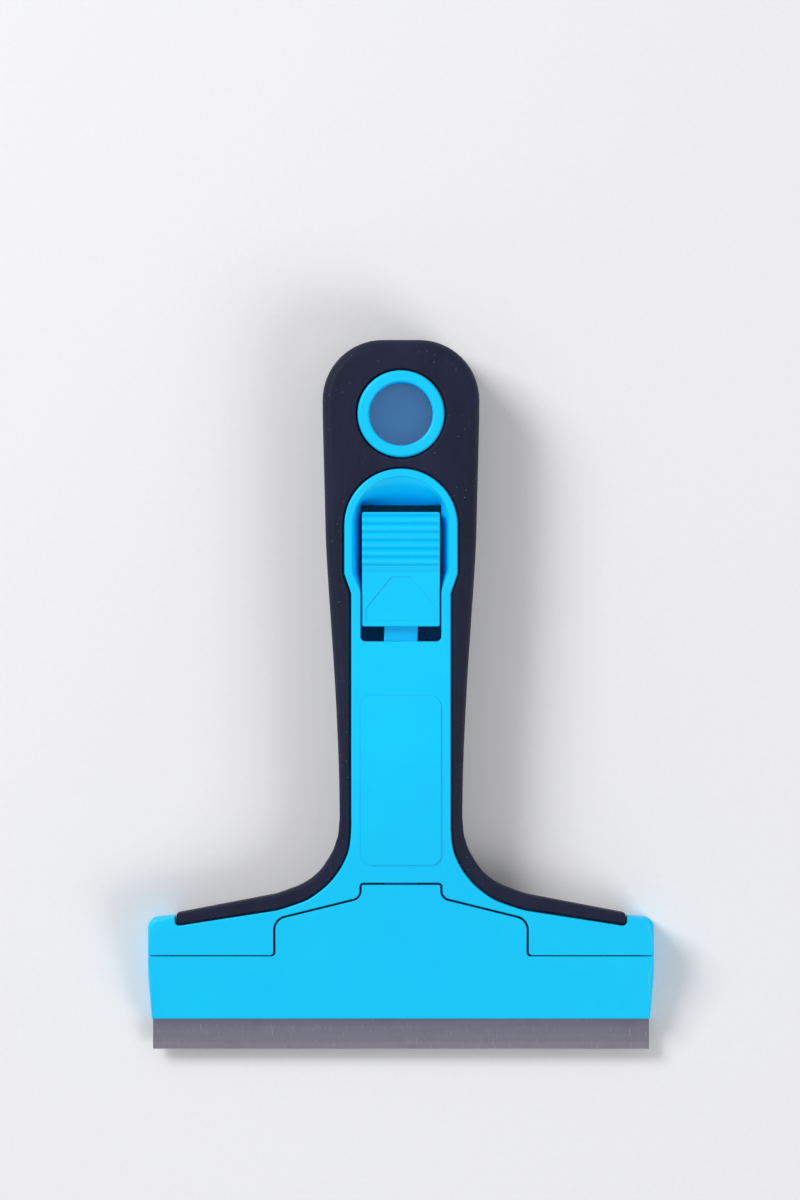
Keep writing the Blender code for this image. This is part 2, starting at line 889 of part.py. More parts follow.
def make_front_shell(material):
    floor = below_face(shell_depth - seat_gap / 2)
    front = clipped(traced(front_corners()), shoulder_front_station, overall_length)
    marks = profile_stations(shoulder_front_station, overall_length)
    shell = moulding(
        "front_shell", front, floor, face_height, face_edge=shell_edge, marks=marks, material=material
    )
    add(shell, shell_flange())
    cut(shell, shell_cavity(), bulb_cavity())
    bosses = [
        cylinder(
            "boss", shell_boss_radius, x, station,
            split_height(station + shell_boss_radius) + seat_gap / 2 + boss_relief,
            face_height(station - shell_boss_radius) - shell_wall / 2
        )
        for x, station, length in screw_places()
    ]
    pin_top = pin_height + pin_radius + pin_clearance
    cap_top = face_height(pin_station - post_half_depth) - shell_wall / 2
    cut(shell, post_blocks("post_room", seat_gap, -overrun, pin_height + seat_gap))
    add(shell, gathered("shell_bosses", bosses), post_blocks("pin_caps", 0, pin_top, cap_top))
    window = block_corners(window_half_width, window_front_station, window_back_station, window_corner_radius)
    window_cut = moulding("window", traced(window), level(-overrun), level(handle_thickness + overrun))
    panel = block_corners(panel_half_width, panel_front_station, panel_back_station, panel_corner_radius)
    panel_marks = profile_stations(panel_front_station, panel_back_station)
    panel_cut = moulding(
        "panel", traced(panel), below_face(panel_depth), level(handle_thickness + overrun), marks=panel_marks
    )
    ring_way = cylinder(
        "flange_way", ring_outer_radius + seat_gap, 0, ring_station, -overrun, handle_thickness + overrun,
        round_sides
    )
    pilots = [
        cylinder(
            "pilot", screw_hole_radius, x, station, -overrun,
            screw_seat(station, length) + length + seat_gap
        )
        for x, station, length in screw_places()
    ]
    cut(shell, dish(), window_cut, panel_cut, ring_way, jaw_way(), gathered("pilots", pilots))
    return tidy(shell)


# Soft grip

def grip_round(full_round):
    """An edge round that is full on the handle, and less where the strip is narrow."""
    def edge(x, station):
        share = min(max((station - neck_station) / (crest_start_station - neck_station), 0), 1)
        return strip_edge_round + (full_round - strip_edge_round) * share
    return edge


def make_soft_grip(material):
    half = [(strip_end_half_width, shoulder_front_station, 0)] + grip_corners()
    marks = profile_stations(shoulder_front_station, overall_length)
    grip = moulding(
        "soft_grip", traced(half), level(grip_floor_height), below_face(grip_drop),
        floor_edge=grip_round(grip_back_round), face_edge=grip_round(grip_face_round), marks=marks,
        material=material
    )
    low, high = level(-overrun), level(handle_thickness + overrun)
    body = traced(grown(body_corners(), hidden_gap))
    hard_room = moulding(
        "hard_room", body, low, below_face(grip_depth), marks=profile_stations(0, overall_length)
    )
    front_room = moulding("front_room", traced(grown(front_corners(), seat_gap)), low, high)
    ring_way = cylinder(
        "grip_ring_way", ring_outer_radius + seat_gap, 0, ring_station, -overrun, handle_thickness + overrun,
        round_sides
    )
    cut(grip, hard_room, front_room, ring_way)
    return tidy(grip)


# Jaw, lever and button in one moulding, which swings on the hinge pin

def jaw_edge(x, station):
    on_side = x > blade_half_width and station < seam_station - tongue_tip_radius
    share = min(max((station - lip_station) / (taper_station - lip_station), 0), 1)
    return lip_edge_round + (head_edge_round - lip_edge_round) * share if on_side else seam_edge_round


def jaw_plate(material):
    floor = stepped(blade_depth, blade_depth + jaw_step, level(jaw_floor), below_face(jaw_skin))
    marks = profile_stations(lip_station, slope_end_station) + [blade_depth, blade_depth + jaw_step]
    return moulding(
        "jaw_lever", traced(jaw_corners()), floor, face_height, face_edge=jaw_edge, marks=marks,
        material=material
    )


def lever_arm():
    start, stop = pin_station, button_front_station + arm_overlap
    root, rest = below_face(arm_root_depth), below_face(arm_drop + arm_depth)
    floor = stepped(pin_station, slope_end_station, root, rest)
    block = block_corners(arm_half_width, start, stop, 0)
    return moulding(
        "lever_arm", traced(block), floor, below_face(arm_drop), marks=profile_stations(start, stop)
    )


def button_height(station):
    """The button's top: six rounded ridges, then a fall to the flat that carries the raised label."""
    if station >= ridges_start_station:
        phase = (button_back_station - station) / ridge_pitch * math.pi
        return button_end_height - ridge_depth * (1 - abs(math.cos(phase)))
    share = min((ridges_start_station - station) / ridge_fall, 1)
    eased = share * share * (3 - 2 * share)
    low = button_end_height - ridge_depth
    return low + (button_flat_height - low) * eased


def button_marks():
    count = ridge_count * ridge_steps
    step = ridge_pitch / ridge_steps
    marks = [button_back_station - step * index for index in range(1, count + ridge_steps)]
    step = ridge_fall / ridge_steps
    return marks + [ridges_start_station - step * index for index in range(ridge_steps + 1)]


def button_parts():
    front, back = button_front_station, button_back_station
    outside = block_corners(button_half_width, front, back, button_corner_radius)
    pad = moulding(
        "button_pad", traced(outside), level(button_floor_height), button_height,
        face_edge=button_edge_round, marks=button_marks()
    )
    inside = block_corners(button_half_width - button_wall, front + button_wall, back - button_wall, 0)
    ceiling = button_flat_height - button_top_thickness
    hollow = moulding("button_hollow", traced(inside), level(-overrun), level(ceiling))
    seat = cylinder(
        "button_seat", spring_seat_radius, 0, spring_station, ceiling - spring_seat_height / 2,
        ceiling + button_top_thickness / 2
    )
    return pad, hollow, seat


def label_panel():
    corners = [
        (label_half_width, label_front_station, 0), (label_half_width, label_side_station, 0),
        (label_top_half_width, label_back_station, 0),
    ]
    return moulding(
        "label_panel", traced(corners), level(button_flat_height - button_top_thickness / 2),
        level(button_flat_height + label_height), face_edge=label_edge_round
    )


def make_jaw_lever(material):
    lever = jaw_plate(material)
    pad, hollow, seat = button_parts()
    arm = lever_arm()
    cut(pad, hollow)
    knuckle = cross_cylinder("knuckle", knuckle_radius, tongue_half_width - knuckle_side_gap)
    add(lever, knuckle, arm, pad, seat, label_panel())
    cut(lever, cross_cylinder("bore", pin_radius + pin_clearance, head_half_width))
    pocket_top = blade_top + lug_rise + lug_pocket_clearance
    cut(lever, oblong_pair("lug_pockets", -lug_clearance, jaw_floor - overrun, pocket_top))
    pivot = Vector((0, pin_station - middle_station, pin_height))
    lever.data.transform(Matrix.Translation(-pivot))
    lever.location = pivot
    return tidy(lever)


# Metal pieces

def make_hinge_pin(material):
    pin = cross_cylinder("hinge_pin", pin_radius, pin_half_length, small_round_sides)
    pin.data.materials.append(material)
    return pin


def make_spring(material):
    """One wire wound at a steady pitch, with its end turns closed up."""
    low, high = spring_floor, spring_ceiling
    count = spring_turns * spring_points_per_turn
    wire = 2 * spring_wire_radius
    curve = bpy.data.curves.new("button_spring", "CURVE")
    curve.dimensions = "3D"
    curve.bevel_depth = spring_wire_radius
    curve.bevel_resolution = 1
    curve.use_fill_caps = True
    line = curve.splines.new("POLY")
    line.points.add(count)
    closing = wire + seat_gap
    for index in range(count + 1):
        turn = index / spring_points_per_turn
        angle = 2 * math.pi * turn
        inner = min(max((turn - 1) / (spring_turns - 2), 0), 1)
        ends = min(turn, 1) + max(turn - (spring_turns - 1), 0)
        height = low + closing * ends + (high - low - 2 * closing) * inner
        line.points[index].co = (
            spring_radius * math.cos(angle), spring_radius * math.sin(angle), height, 1
        )
    curve.materials.append(material)
    spring = bpy.data.objects.new("button_spring", curve)
    spring.location = (0, spring_station - middle_station, 0)
    bpy.context.scene.collection.objects.link(spring)
    return spring


def make_blade(material):
    """A flat strip with a ground cutting edge and two slots."""
    middle = blade_floor + blade_thickness / 2
    half_edge = blade_edge_thickness / 2
    section = (
        (0, middle - half_edge), (blade_grind, blade_floor), (blade_depth, blade_floor),
        (blade_depth, blade_top), (blade_grind, blade_top), (0, middle + half_edge),
    )
    builder = bmesh.new()
    side = -blade_half_width
    vertices = [builder.verts.new((side, station - middle_station, height)) for station, height in section]
    face = builder.faces.new(vertices)
    made = bmesh.ops.extrude_face_region(builder, geom=[face])
    moved = [item for item in made["geom"] if isinstance(item, bmesh.types.BMVert)]
    bmesh.ops.translate(builder, vec=(2 * blade_half_width, 0, 0), verts=moved)
    blade = new_object("blade", builder, material)
    cut(blade, oblong_pair("blade_slots", 0, 0, handle_thickness))
    return blade


def make_screws(material):
    """Pan-head screws in wells in the back, each its own object."""
    meshes = {}
    for index, (x, station, length) in enumerate(screw_places()):
        name = f"screw_{index + 1}"
        if length not in meshes:
            profile = (
                (0, length), (screw_shank_radius / 2, length),
                (screw_shank_radius, length - screw_shank_radius), (screw_shank_radius, 0),
                (screw_head_radius, 0), (screw_head_radius, -screw_head_height / 2),
                (screw_head_radius - screw_head_height / 2, -screw_head_height),
                (screw_recess_radius, -screw_head_height),
                (screw_recess_radius / 2, screw_recess_depth - screw_head_height),
                (0, screw_recess_depth - screw_head_height),
            )
            screw = turned(name, profile, 0, middle_station, small_round_sides, material)
            meshes[length] = screw.data
        else:
            screw = bpy.data.objects.new(name, meshes[length])
            bpy.context.scene.collection.objects.link(screw)
        screw.location = (x, station - middle_station, screw_seat(station, length) - seat_gap)


def make_scraper():
    clear_scene()
    blue = finish("blue_plastic", (0.0, 0.56, 1.0), 0.35, 0)
    rubber = finish("soft_rubber", (0.02, 0.021, 0.032), 0.7, 0)
    blade_steel = finish("blade_steel", (0.25, 0.26, 0.29), 0.4, 1)
    plated_steel = finish("plated_steel", (0.6, 0.6, 0.6), 0.3, 1)
    make_rear_body(blue)
    make_front_shell(blue)
    make_soft_grip(rubber)
    make_jaw_lever(blue)
    make_hinge_pin(plated_steel)
    make_spring(plated_steel)
    make_blade(blade_steel)
    make_screws(plated_steel)
    print("length", overall_length, "width", 2 * head_half_width, "thickness", handle_thickness)


make_scraper()
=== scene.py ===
# %% [markdown]
# # A blade scraper for paint and glass
#
# The real tool is two blue mouldings screwed together from the back, a soft grip moulded round
# them, and a lever between them that clamps a 100 mm blade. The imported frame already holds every
# piece at its real size. This script loads that frame, models the pieces that show once more with
# finer edges, and gives each one the finish of its real material.

# %% The frame
import math

import bmesh
import bpy
from mathutils import Matrix, Vector


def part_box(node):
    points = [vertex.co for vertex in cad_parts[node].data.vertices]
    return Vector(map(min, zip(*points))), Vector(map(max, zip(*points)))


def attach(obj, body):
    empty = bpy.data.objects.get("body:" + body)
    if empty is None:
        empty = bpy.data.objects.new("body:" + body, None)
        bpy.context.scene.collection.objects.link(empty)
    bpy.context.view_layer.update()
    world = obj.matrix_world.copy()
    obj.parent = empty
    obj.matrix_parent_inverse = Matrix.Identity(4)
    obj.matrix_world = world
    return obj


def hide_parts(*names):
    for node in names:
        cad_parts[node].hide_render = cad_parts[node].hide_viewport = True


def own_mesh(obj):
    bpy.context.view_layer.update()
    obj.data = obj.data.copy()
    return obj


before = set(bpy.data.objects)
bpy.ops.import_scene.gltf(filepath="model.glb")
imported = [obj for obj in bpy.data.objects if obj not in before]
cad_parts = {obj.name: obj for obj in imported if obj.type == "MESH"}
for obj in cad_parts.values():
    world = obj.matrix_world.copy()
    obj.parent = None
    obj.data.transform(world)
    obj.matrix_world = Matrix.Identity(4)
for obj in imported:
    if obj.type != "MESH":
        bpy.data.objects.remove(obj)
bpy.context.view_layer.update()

# %% [markdown]
# ## Stations
#
# The tool is long and nearly symmetrical, so each place on it is a half width from the middle and
# a station, which is the distance from the cutting edge. Lengths are in metres. What the frame
# already says is read from it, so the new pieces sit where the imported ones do. Neighbouring pieces
# that don't move are kept apart by the seat gap, which the eye reads as the line between them.

# %% Where things are
blade_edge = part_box("blade")[0].y
overall_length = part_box("soft_grip")[1].y - blade_edge
handle_thickness = 0.017
head_half_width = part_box("core_body")[1].x
blade_half_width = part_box("blade")[1].x
blade_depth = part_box("blade")[1].y - blade_edge
blade_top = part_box("blade")[1].z
seat_gap = 0.0003
print("length", round(overall_length, 4), "head half width", round(head_half_width, 4))

# %% [markdown]
# ## Side profile
#
# Seen from the side, the blue face starts as a low lip over the blade, climbs a straight slope and
# eases into a nearly level handle. Every face on the front follows this one curve. It could be a
# drawn spline, but a function of the station gives its height wherever a piece needs it.

# %% The height of the blue face
lip_station, lip_height = 0.0061, 0.0049
slope_end_station, slope_end_height = 0.0333, 0.012
crest_start_station = 0.062
crest_end_station = overall_length - 0.0307
end_drop = 0.0016
head_slope = (slope_end_height - lip_height) / (slope_end_station - lip_station)


def eased(share):
    """A share of the way from nothing to one, gentle at both ends."""
    return share * share * (3 - 2 * share)


def face_height(station):
    """Height of the blue front face over the back."""
    if station <= slope_end_station:
        return lip_height + head_slope * (station - lip_station)
    if station < crest_start_station:
        run = crest_start_station - slope_end_station
        share = (station - slope_end_station) / run
        lead = head_slope * run * share * (1 - share) ** 2
        return slope_end_height + (handle_thickness - slope_end_height) * eased(share) + lead
    if station <= crest_end_station:
        return handle_thickness
    share = (station - crest_end_station) / (overall_length - crest_end_station)
    return handle_thickness - end_drop * share * share


def level(height):
    return lambda station: height


def below_face(depth):
    return lambda station: face_height(station) - depth


print("the head slopes by", round(math.degrees(math.atan(head_slope)), 1), "degrees")

# %% [markdown]
# ## Outlines
#
# A moulding starts as a drawing: a few corners joined by straight edges. Each corner is a half
# width, a station and a radius, and the left half mirrors the right. A vertex bevel turns a corner
# into an arc, which is quicker than working out the arc's points.

# %% Drawing an outline
arc_step = math.radians(6)
merge_distance = 0.00000015


def once(items):
    """Each item once, in the order in which they come, so that every run gives the same mesh."""
    return list(dict.fromkeys(items))


def points_of(parts):
    """The points of some edges or faces."""
    return once(vertex for part in parts for vertex in part.verts)


def soften(builder, vertex, radius):
    """Rounds one corner of a drawn outline with a vertex bevel."""
    first, second = [edge.other_vert(vertex).co - vertex.co for edge in vertex.link_edges]
    turn = math.pi - first.angle(second)
    reach = min(radius * math.tan(turn / 2), first.length, second.length)
    bmesh.ops.bevel(
        builder, geom=[vertex], affect="VERTICES", offset=reach, offset_type="OFFSET",
        segments=max(2, math.ceil(turn / arc_step)), profile=0.5, material=-1
    )


def draw(builder, corners, shut=True):
    """Joins a half outline's corners and their mirror images, and returns the new edges."""
    known = set(builder.edges)
    points = corners + [(-x, station, radius) for x, station, radius in reversed(corners) if x]
    made = [builder.verts.new((x, blade_edge + station, 0)) for x, station, radius in points]
    pairs = list(zip(made, made[1:]))
    if shut:
        pairs.append((made[-1], made[0]))
    for pair in pairs:
        builder.edges.new(pair)
    for vertex, (x, station, radius) in zip(made, points):
        if radius:
            soften(builder, vertex, radius)
    fresh = points_of(edge for edge in builder.edges if edge not in known)
    bmesh.ops.remove_doubles(builder, verts=fresh, dist=merge_distance)
    return [edge for edge in builder.edges if edge not in known]


# %% [markdown]
# An outline often has to keep clear of its neighbour by a gap. Moving each corner along the mitre
# of its two sides gives the outline that is wider by that gap everywhere.

# %% Moving an outline outwards
def mitre(before, here, after):
    """How far a corner moves when both its sides move outwards by one unit."""
    first, second = (here - before).normalized(), (after - here).normalized()
    outward = Vector((first.y, -first.x)) + Vector((second.y, -second.x))
    return outward / (1 + first.dot(second))


def grown(corners, amount):
    """The half outline moved outwards by an amount, or inwards by a negative one."""
    # The neighbour beyond either end is the mirror image of a corner of this half.
    last = corners[-1] if corners[-1][0] else corners[-2]
    points = [corners[0], *corners, last]
    signs = [-1] + [1] * len(corners) + [-1]
    places = [Vector((sign * point[0], point[1])) for sign, point in zip(signs, points)]
    found = []
    for index, (x, station, radius) in enumerate(corners):
        before, here, after = places[index:index + 3]
        moved = here + mitre(before, here, after) * amount
        convex = (here - before).cross(after - here) > 0
        grown_radius = max(radius + (amount if convex else -amount), 0) if radius else 0
        found.append((moved.x if x else 0, moved.y, grown_radius))
    return found


# %% [markdown]
# The shoulders of this tool sweep up into the neck in one long curve. Its few measured points are
# shares of the shoulder's width and height, and a spline through them fills in the rest.

# %% Smooth curves through a few points
spline_steps = 4


def smoothed(points, lead=None):
    """More points on a smooth curve through the given ones, which may follow on from a lead."""
    places = [Vector(point) for point in (lead or points[0], *points, points[-1])]
    found = []
    for first, second, third, fourth in zip(places, places[1:], places[2:], places[3:]):
        for share in (step / spline_steps for step in range(spline_steps)):
            near, far = (third - first) / 2, (fourth - second) / 2
            square, cube = share ** 2, share ** 3
            found.append(
                second * (2 * cube - 3 * square + 1) + near * (cube - 2 * square + share)
                + third * (3 * square - 2 * cube) + far * (cube - square)
            )
    return [(place.x, place.y, 0) for place in found + [places[-1]]]


def flare(strip_end, foot, top, shares):
    """The curve that carries on from a straight strip at its foot, up to the neck."""
    run, rise = foot[0] - top[0], top[1] - foot[1]
    points = [Vector((top[0] + run * across, foot[1] + rise * along)) for across, along in shares]
    back = (Vector(strip_end) - points[0]).normalized() * (points[1] - points[0]).length
    return smoothed(points, points[0] + back)


# %% [markdown]
# ## The outlines of this tool
#
# Two outlines carry nearly everything. The blue front is a wide low head with two shoulder strips,
# a straight spine, and a bulb around the button whose top is a half circle. The spine's width and
# the shoulders' curve were read off the picture, with the 100 mm blade as the ruler.

# %% The outline of the blue front
seam_station = 0.0188
seam_gap = 0.00025
taper_station = 0.0145
lip_half_width = 0.0502
head_back_station = 0.027
head_back_rise = 0.0004
head_corner_radius = 0.0021
strip_end_half_width = 0.04545
strip_inner_station = 0.0249
strip_corner_radius = 0.0009
shell_foot = (0.025, 0.0281)
spine_half_width, spine_station = 0.00997, 0.045
bulb_half_width = 0.01135
bulb_start_station, bulb_full_station, bulb_top_station = 0.0918, 0.0958, 0.1168
rim_width = 0.0016
inner_flare_shares = (
    (1.0, 0.0), (0.674, 0.095), (0.548, 0.148), (0.425, 0.225), (0.326, 0.299), (0.233, 0.39),
    (0.156, 0.485), (0.096, 0.58), (0.04, 0.704), (0.013, 0.834), (0.0, 1.0),
)
shoulder_front_station = seam_station + seam_gap


def head_back_corners():
    return [
        (head_half_width, head_back_station - head_back_rise, head_corner_radius),
        (strip_end_half_width, head_back_station, 0),
    ]


def spine_corners():
    """The blue front from its shoulder strip up the spine and round the button."""
    return [
        (strip_end_half_width, strip_inner_station, strip_corner_radius),
        *flare(
            (strip_end_half_width, strip_inner_station), shell_foot,
            (spine_half_width, spine_station), inner_flare_shares
        ),
        (spine_half_width, bulb_start_station, rim_width),
        (bulb_half_width, bulb_full_station, rim_width),
        (bulb_half_width, bulb_top_station, bulb_half_width),
    ]


print("half of the blue front", len(head_back_corners() + spine_corners()), "corners")

# %% [markdown]
# The grip is the dark rim around the blue. It starts as a thin strip behind each shoulder, follows
# the shoulder's curve, is narrowest at the neck and swells slowly towards the hanging end. The hard
# body under it has the same outline less the thickness of the rubber.

# %% The outline of the soft grip
end_flat_half_width = 0.0037
end_corner_radius = 0.0121
neck_half_width, neck_station = 0.0123, 0.047
grip_foot = (0.02535, 0.0313)
strip_end_station = 0.0275
grip_wall = 0.0016
neck_swell_shares = (
    (0.0, 0.0), (0.13, 0.057), (0.33, 0.286), (0.62, 0.743), (0.76, 0.85), (1.0, 1.0),
)
outer_flare_shares = (
    (1.0, 0.0), (0.736, 0.076), (0.628, 0.111), (0.498, 0.169), (0.39, 0.236), (0.284, 0.325),
    (0.195, 0.433), (0.107, 0.56), (0.054, 0.688), (0.023, 0.783), (0.0, 1.0),
)


def grip_corners():
    """Outside of the grip, from the end of its shoulder strip to the hanging end."""
    widest = end_flat_half_width + end_corner_radius
    run = overall_length - end_corner_radius - neck_station
    swell = widest - neck_half_width
    side = [
        (neck_half_width + swell * out, neck_station + run * along)
        for along, out in neck_swell_shares
    ]
    neck, strip_end = (neck_half_width, neck_station), (strip_end_half_width, strip_end_station)
    return [
        (*strip_end, 0), *flare(strip_end, grip_foot, neck, outer_flare_shares),
        *smoothed(side)[1:-1], (widest, overall_length, end_corner_radius),
    ]


def body_side_corners():
    """The hard body under the grip, from the notch where the grip's strip ends."""
    inner = grown(grip_corners(), -(grip_wall + seat_gap))[1:]
    run = strip_end_half_width - grip_foot[0]
    slope = (grip_foot[1] - strip_end_station) / run
    notch = inner[0][1] - slope * (strip_end_half_width - inner[0][0])
    return [(strip_end_half_width, notch, 0), *inner]


print("half of the grip's outside", len(grip_corners()), "corners")

# %% [markdown]
# ## Mouldings
#
# A moulded piece is its outline given a thickness. The drawing is filled, extruded down, and cut
# across at many stations, and then each point slides up or down to the height that belongs to its
# station. Until then the layers are kept apart at flat levels, far enough that none can be mixed
# up: the face on top, an underside in the middle and a floor at the bottom.

# %% Filling and extruding
layer = 0.05
fill_turn = math.radians(23)


def fill(builder, edges):
    """Faces between the drawn edges, looking up.

    The operator stumbles over points that share a station, so the drawing is turned by an odd
    angle while it works.
    """
    places = {vertex: vertex.co.copy() for vertex in points_of(edges)}
    bmesh.ops.rotate(builder, verts=list(places), matrix=Matrix.Rotation(fill_turn, 3, "Z"))
    made = bmesh.ops.triangle_fill(builder, edges=edges, use_beauty=True, normal=(0, 0, 1))
    for vertex, place in places.items():
        vertex.co = place
    return [item for item in made["geom"] if isinstance(item, bmesh.types.BMFace)]


def region(faces):
    """Faces with their edges and points, as the operators want them."""
    edges = once(edge for face in faces for edge in face.edges)
    return [*faces, *edges, *points_of(faces)]


def sink(builder, faces, distance=layer):
    """Extrudes a region down and returns its lower faces. A negative distance raises it."""
    made = bmesh.ops.extrude_face_region(builder, geom=region(faces))["geom"]
    vertices = [item for item in made if isinstance(item, bmesh.types.BMVert)]
    bmesh.ops.translate(builder, verts=vertices, vec=(0, 0, -distance))
    return [item for item in made if isinstance(item, bmesh.types.BMFace)]


# %% [markdown]
# No moulded edge is sharp, and the light that an edge catches is what makes it look real. A rim is
# rounded by insetting the face a few times. Each inset gives the direction of the mitre, and the
# new ring is then moved along it onto a quarter circle whose size may differ along the rim.

# %% Rounding a rim
round_segments = 6
probe = 0.0001
spot_digits = 7


def rim_vertices(faces):
    inside = set(faces)
    edges = once(edge for face in faces for edge in face.edges)
    return points_of(edge for edge in edges if any(face not in inside for face in edge.link_faces))


def spot(vertex):
    """A point's place in the drawing, by which it is found again after an operator has split it."""
    return round(vertex.co.x, spot_digits), round(vertex.co.y, spot_digits)


def spots_of(parts):
    return {spot(vertex) for vertex in points_of(parts)}


def stands_on(part, spots):
    """Whether every point of an edge or face is at one of the known places."""
    return all(spot(vertex) in spots for vertex in part.verts)


def round_rim(builder, faces, size_of, tall=1):
    """Rolls the rim of a flat region over into its walls, a drop that may be taller than wide."""
    flat = faces[0].verts[0].co.z
    side = 1 if flat > -layer / 2 else -1
    sizes = {spot(vertex): size_of(vertex) for vertex in rim_vertices(faces)}
    for step in range(round_segments):
        before = math.pi / 2 * step / round_segments
        after = math.pi / 2 * (step + 1) / round_segments
        bmesh.ops.inset_region(
            builder, faces=faces, thickness=probe, use_even_offset=True, use_boundary=True
        )
        inside = set(points_of(faces))
        moved = {}
        for vertex in rim_vertices(faces):
            outer = [edge.other_vert(vertex) for edge in vertex.link_edges]
            mate = next(other for other in outer if other not in inside)
            size = sizes[spot(mate)]
            way = (vertex.co - mate.co) / probe
            vertex.co = mate.co + way * size * (math.cos(before) - math.cos(after))
            moved[spot(vertex)] = size
            mate.co.z = flat - side * size * tall * (1 - math.sin(before))
        sizes = moved


# %% [markdown]
# The cross cuts are closer together where the face curves. After them, one pass over the points
# sets the real heights.

# %% Following the side profile
curve_spacing = 0.0016
cut_snap = 0.00001


def profile_marks():
    """Stations where a surface that follows the side profile needs an edge across."""
    marks = [lip_station, slope_end_station, crest_start_station, crest_end_station]
    curved = ((slope_end_station, crest_start_station), (crest_end_station, overall_length))
    for low, high in curved:
        count = math.ceil((high - low) / curve_spacing)
        marks += [low + (high - low) * index / count for index in range(1, count)]
    return marks


def cut_across(builder, marks):
    for mark in marks:
        bmesh.ops.bisect_plane(
            builder, geom=builder.verts[:] + builder.edges[:] + builder.faces[:],
            plane_co=(0, blade_edge + mark, 0), plane_no=(0, 1, 0), dist=cut_snap
        )


def set_heights(builder, face, underside, floor):
    """Moves the flat layers to heights that depend on the station."""
    for vertex in builder.verts:
        station = vertex.co.y - blade_edge
        if vertex.co.z > -layer / 2:
            vertex.co.z += face(station)
        elif vertex.co.z > -layer * 3 / 2:
            vertex.co.z += layer + underside(station)
        else:
            vertex.co.z += 2 * layer + floor(station)


# %% [markdown]
# A count of open edges shows at once if a piece isn't closed.

# %% Finishing a piece
sharp_angle = math.radians(32)


def finish_piece(builder, name, material, body, slot, *nodes):
    """Makes the mesh an object that rides on a body and stands for its CAD nodes."""
    bmesh.ops.remove_doubles(builder, verts=builder.verts, dist=merge_distance)
    bmesh.ops.dissolve_degenerate(builder, edges=builder.edges, dist=merge_distance)
    bmesh.ops.recalc_face_normals(builder, faces=builder.faces)
    loose = [edge for edge in builder.edges if len(edge.link_faces) != 2]
    mesh = bpy.data.meshes.new(name)
    builder.to_mesh(mesh)
    builder.free()
    mesh.shade_smooth()
    mesh.set_sharp_from_angle(angle=sharp_angle)
    mesh.materials.append(material)
    piece = bpy.data.objects.new(name, mesh)
    bpy.context.scene.collection.objects.link(piece)
    even = piece.modifiers.new("even_shading", "WEIGHTED_NORMAL")
    even.keep_sharp = True
    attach(piece, body)
    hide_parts(*nodes)
    triangles = sum(len(polygon.vertices) - 2 for polygon in mesh.polygons)
    print(name, triangles, "triangles, open edges", len(loose))
    return piece


# %% [markdown]
# ## Finishes
#
# Every finish is built from noise laid out in millimetres on the object itself, so the grain has
# its real size and stays put when the lever moves. A colour is written as sRGB hex and turned
# linear once. One small function adds every node: it takes the node's settings and fills or links
# its inputs, in their order or by name.

# %% Adding nodes
def linear(code):
    """A colour written as sRGB hex, as the linear values that a shader takes."""
    dark, steep, lift, power = 0.04045, 12.92, 0.055, 2.4
    channels = [int(code[start:start + 2], 16) / 255 for start in (1, 3, 5)]
    return [x / steep if x <= dark else ((x + lift) / (1 + lift)) ** power for x in channels] + [1]


def add(tree, kind, inputs=(), output="", **settings):
    """Adds a node and gives back the named output, or else the first one in use."""
    node = tree.nodes.new("ShaderNode" + kind)
    for name, value in settings.items():
        setattr(node, name, value)
    if isinstance(inputs, dict):
        pairs = [(node.inputs[name], value) for name, value in inputs.items()]
    else:
        pairs = zip([socket for socket in node.inputs if socket.enabled], inputs)
    for socket, value in pairs:
        if isinstance(value, bpy.types.NodeSocket):
            tree.links.new(value, socket)
        else:
            socket.default_value = value
    return node.outputs[output] if output else [end for end in node.outputs if end.enabled][0]


# %% [markdown]
# A finish starts with the shader's plain numbers and a place in millimetres, and it ends with the
# links into the shader. Edges are worn more than flats: where the bevel node turns the normal away
# from the surface's own, there is an edge. Noise seldom leaves the middle of its scale, so a map
# range spreads that middle over the values that are wanted.

# %% The start, the edges and the end of a finish
millimetres = 1000
edge_facing = 0.9
edge_samples = 6
usual_noise = (0.3, 0.7)


def start_finish(name, roughness, metallic=0, specular=0.5):
    """A new material, its node tree and its place on the object in millimetres."""
    material = bpy.data.materials.new(name)
    material.use_nodes = True
    tree = material.node_tree
    shader = tree.nodes["Principled BSDF"]
    shader.inputs["Roughness"].default_value = roughness
    shader.inputs["Metallic"].default_value = metallic
    shader.inputs["Specular IOR Level"].default_value = specular
    place = add(tree, "TexCoord", output="Object")
    place = add(tree, "Mapping", {"Vector": place, "Scale": [millimetres] * 3})
    return material, tree, place


def edge_share(tree, reach):
    """One on a rounded edge and nothing on the flats."""
    turned_normal = add(tree, "Bevel", {"Radius": reach}, samples=edge_samples)
    own_normal = add(tree, "NewGeometry", output="Normal")
    facing = add(tree, "VectorMath", (turned_normal, own_normal), operation="DOT_PRODUCT")
    return add(tree, "MapRange", (facing, 1, edge_facing, 0, 1))


def finish_surface(material, colour, roughness, height, depth):
    """Links the colour, the roughness and a bump of a depth in metres."""
    tree = material.node_tree
    shader = tree.nodes["Principled BSDF"]
    bump = add(tree, "Bump", {"Height": height, "Distance": depth, "Strength": 1})
    tree.links.new(bump, shader.inputs["Normal"])
    tree.links.new(colour, shader.inputs["Base Color"])
    tree.links.new(roughness, shader.inputs["Roughness"])
    print(material.name, len(tree.nodes), "nodes")
    return material


# %% [markdown]
# **Moulded ABS.** The blue parts come out of a mould whose steel was spark eroded, which leaves an
# even, very fine grain and a satin shine. To the eye that means a clean strong blue with a soft
# highlight. Handling polishes the edges first, so they are smoother and a touch paler, and the
# colour drifts by a hair where the melt cooled at different speeds. The grain is drawn at a fifth
# of a millimetre, because the real one would be too fine to show. ABS bends light as other
# plastics do, so the shader keeps its usual index of refraction.

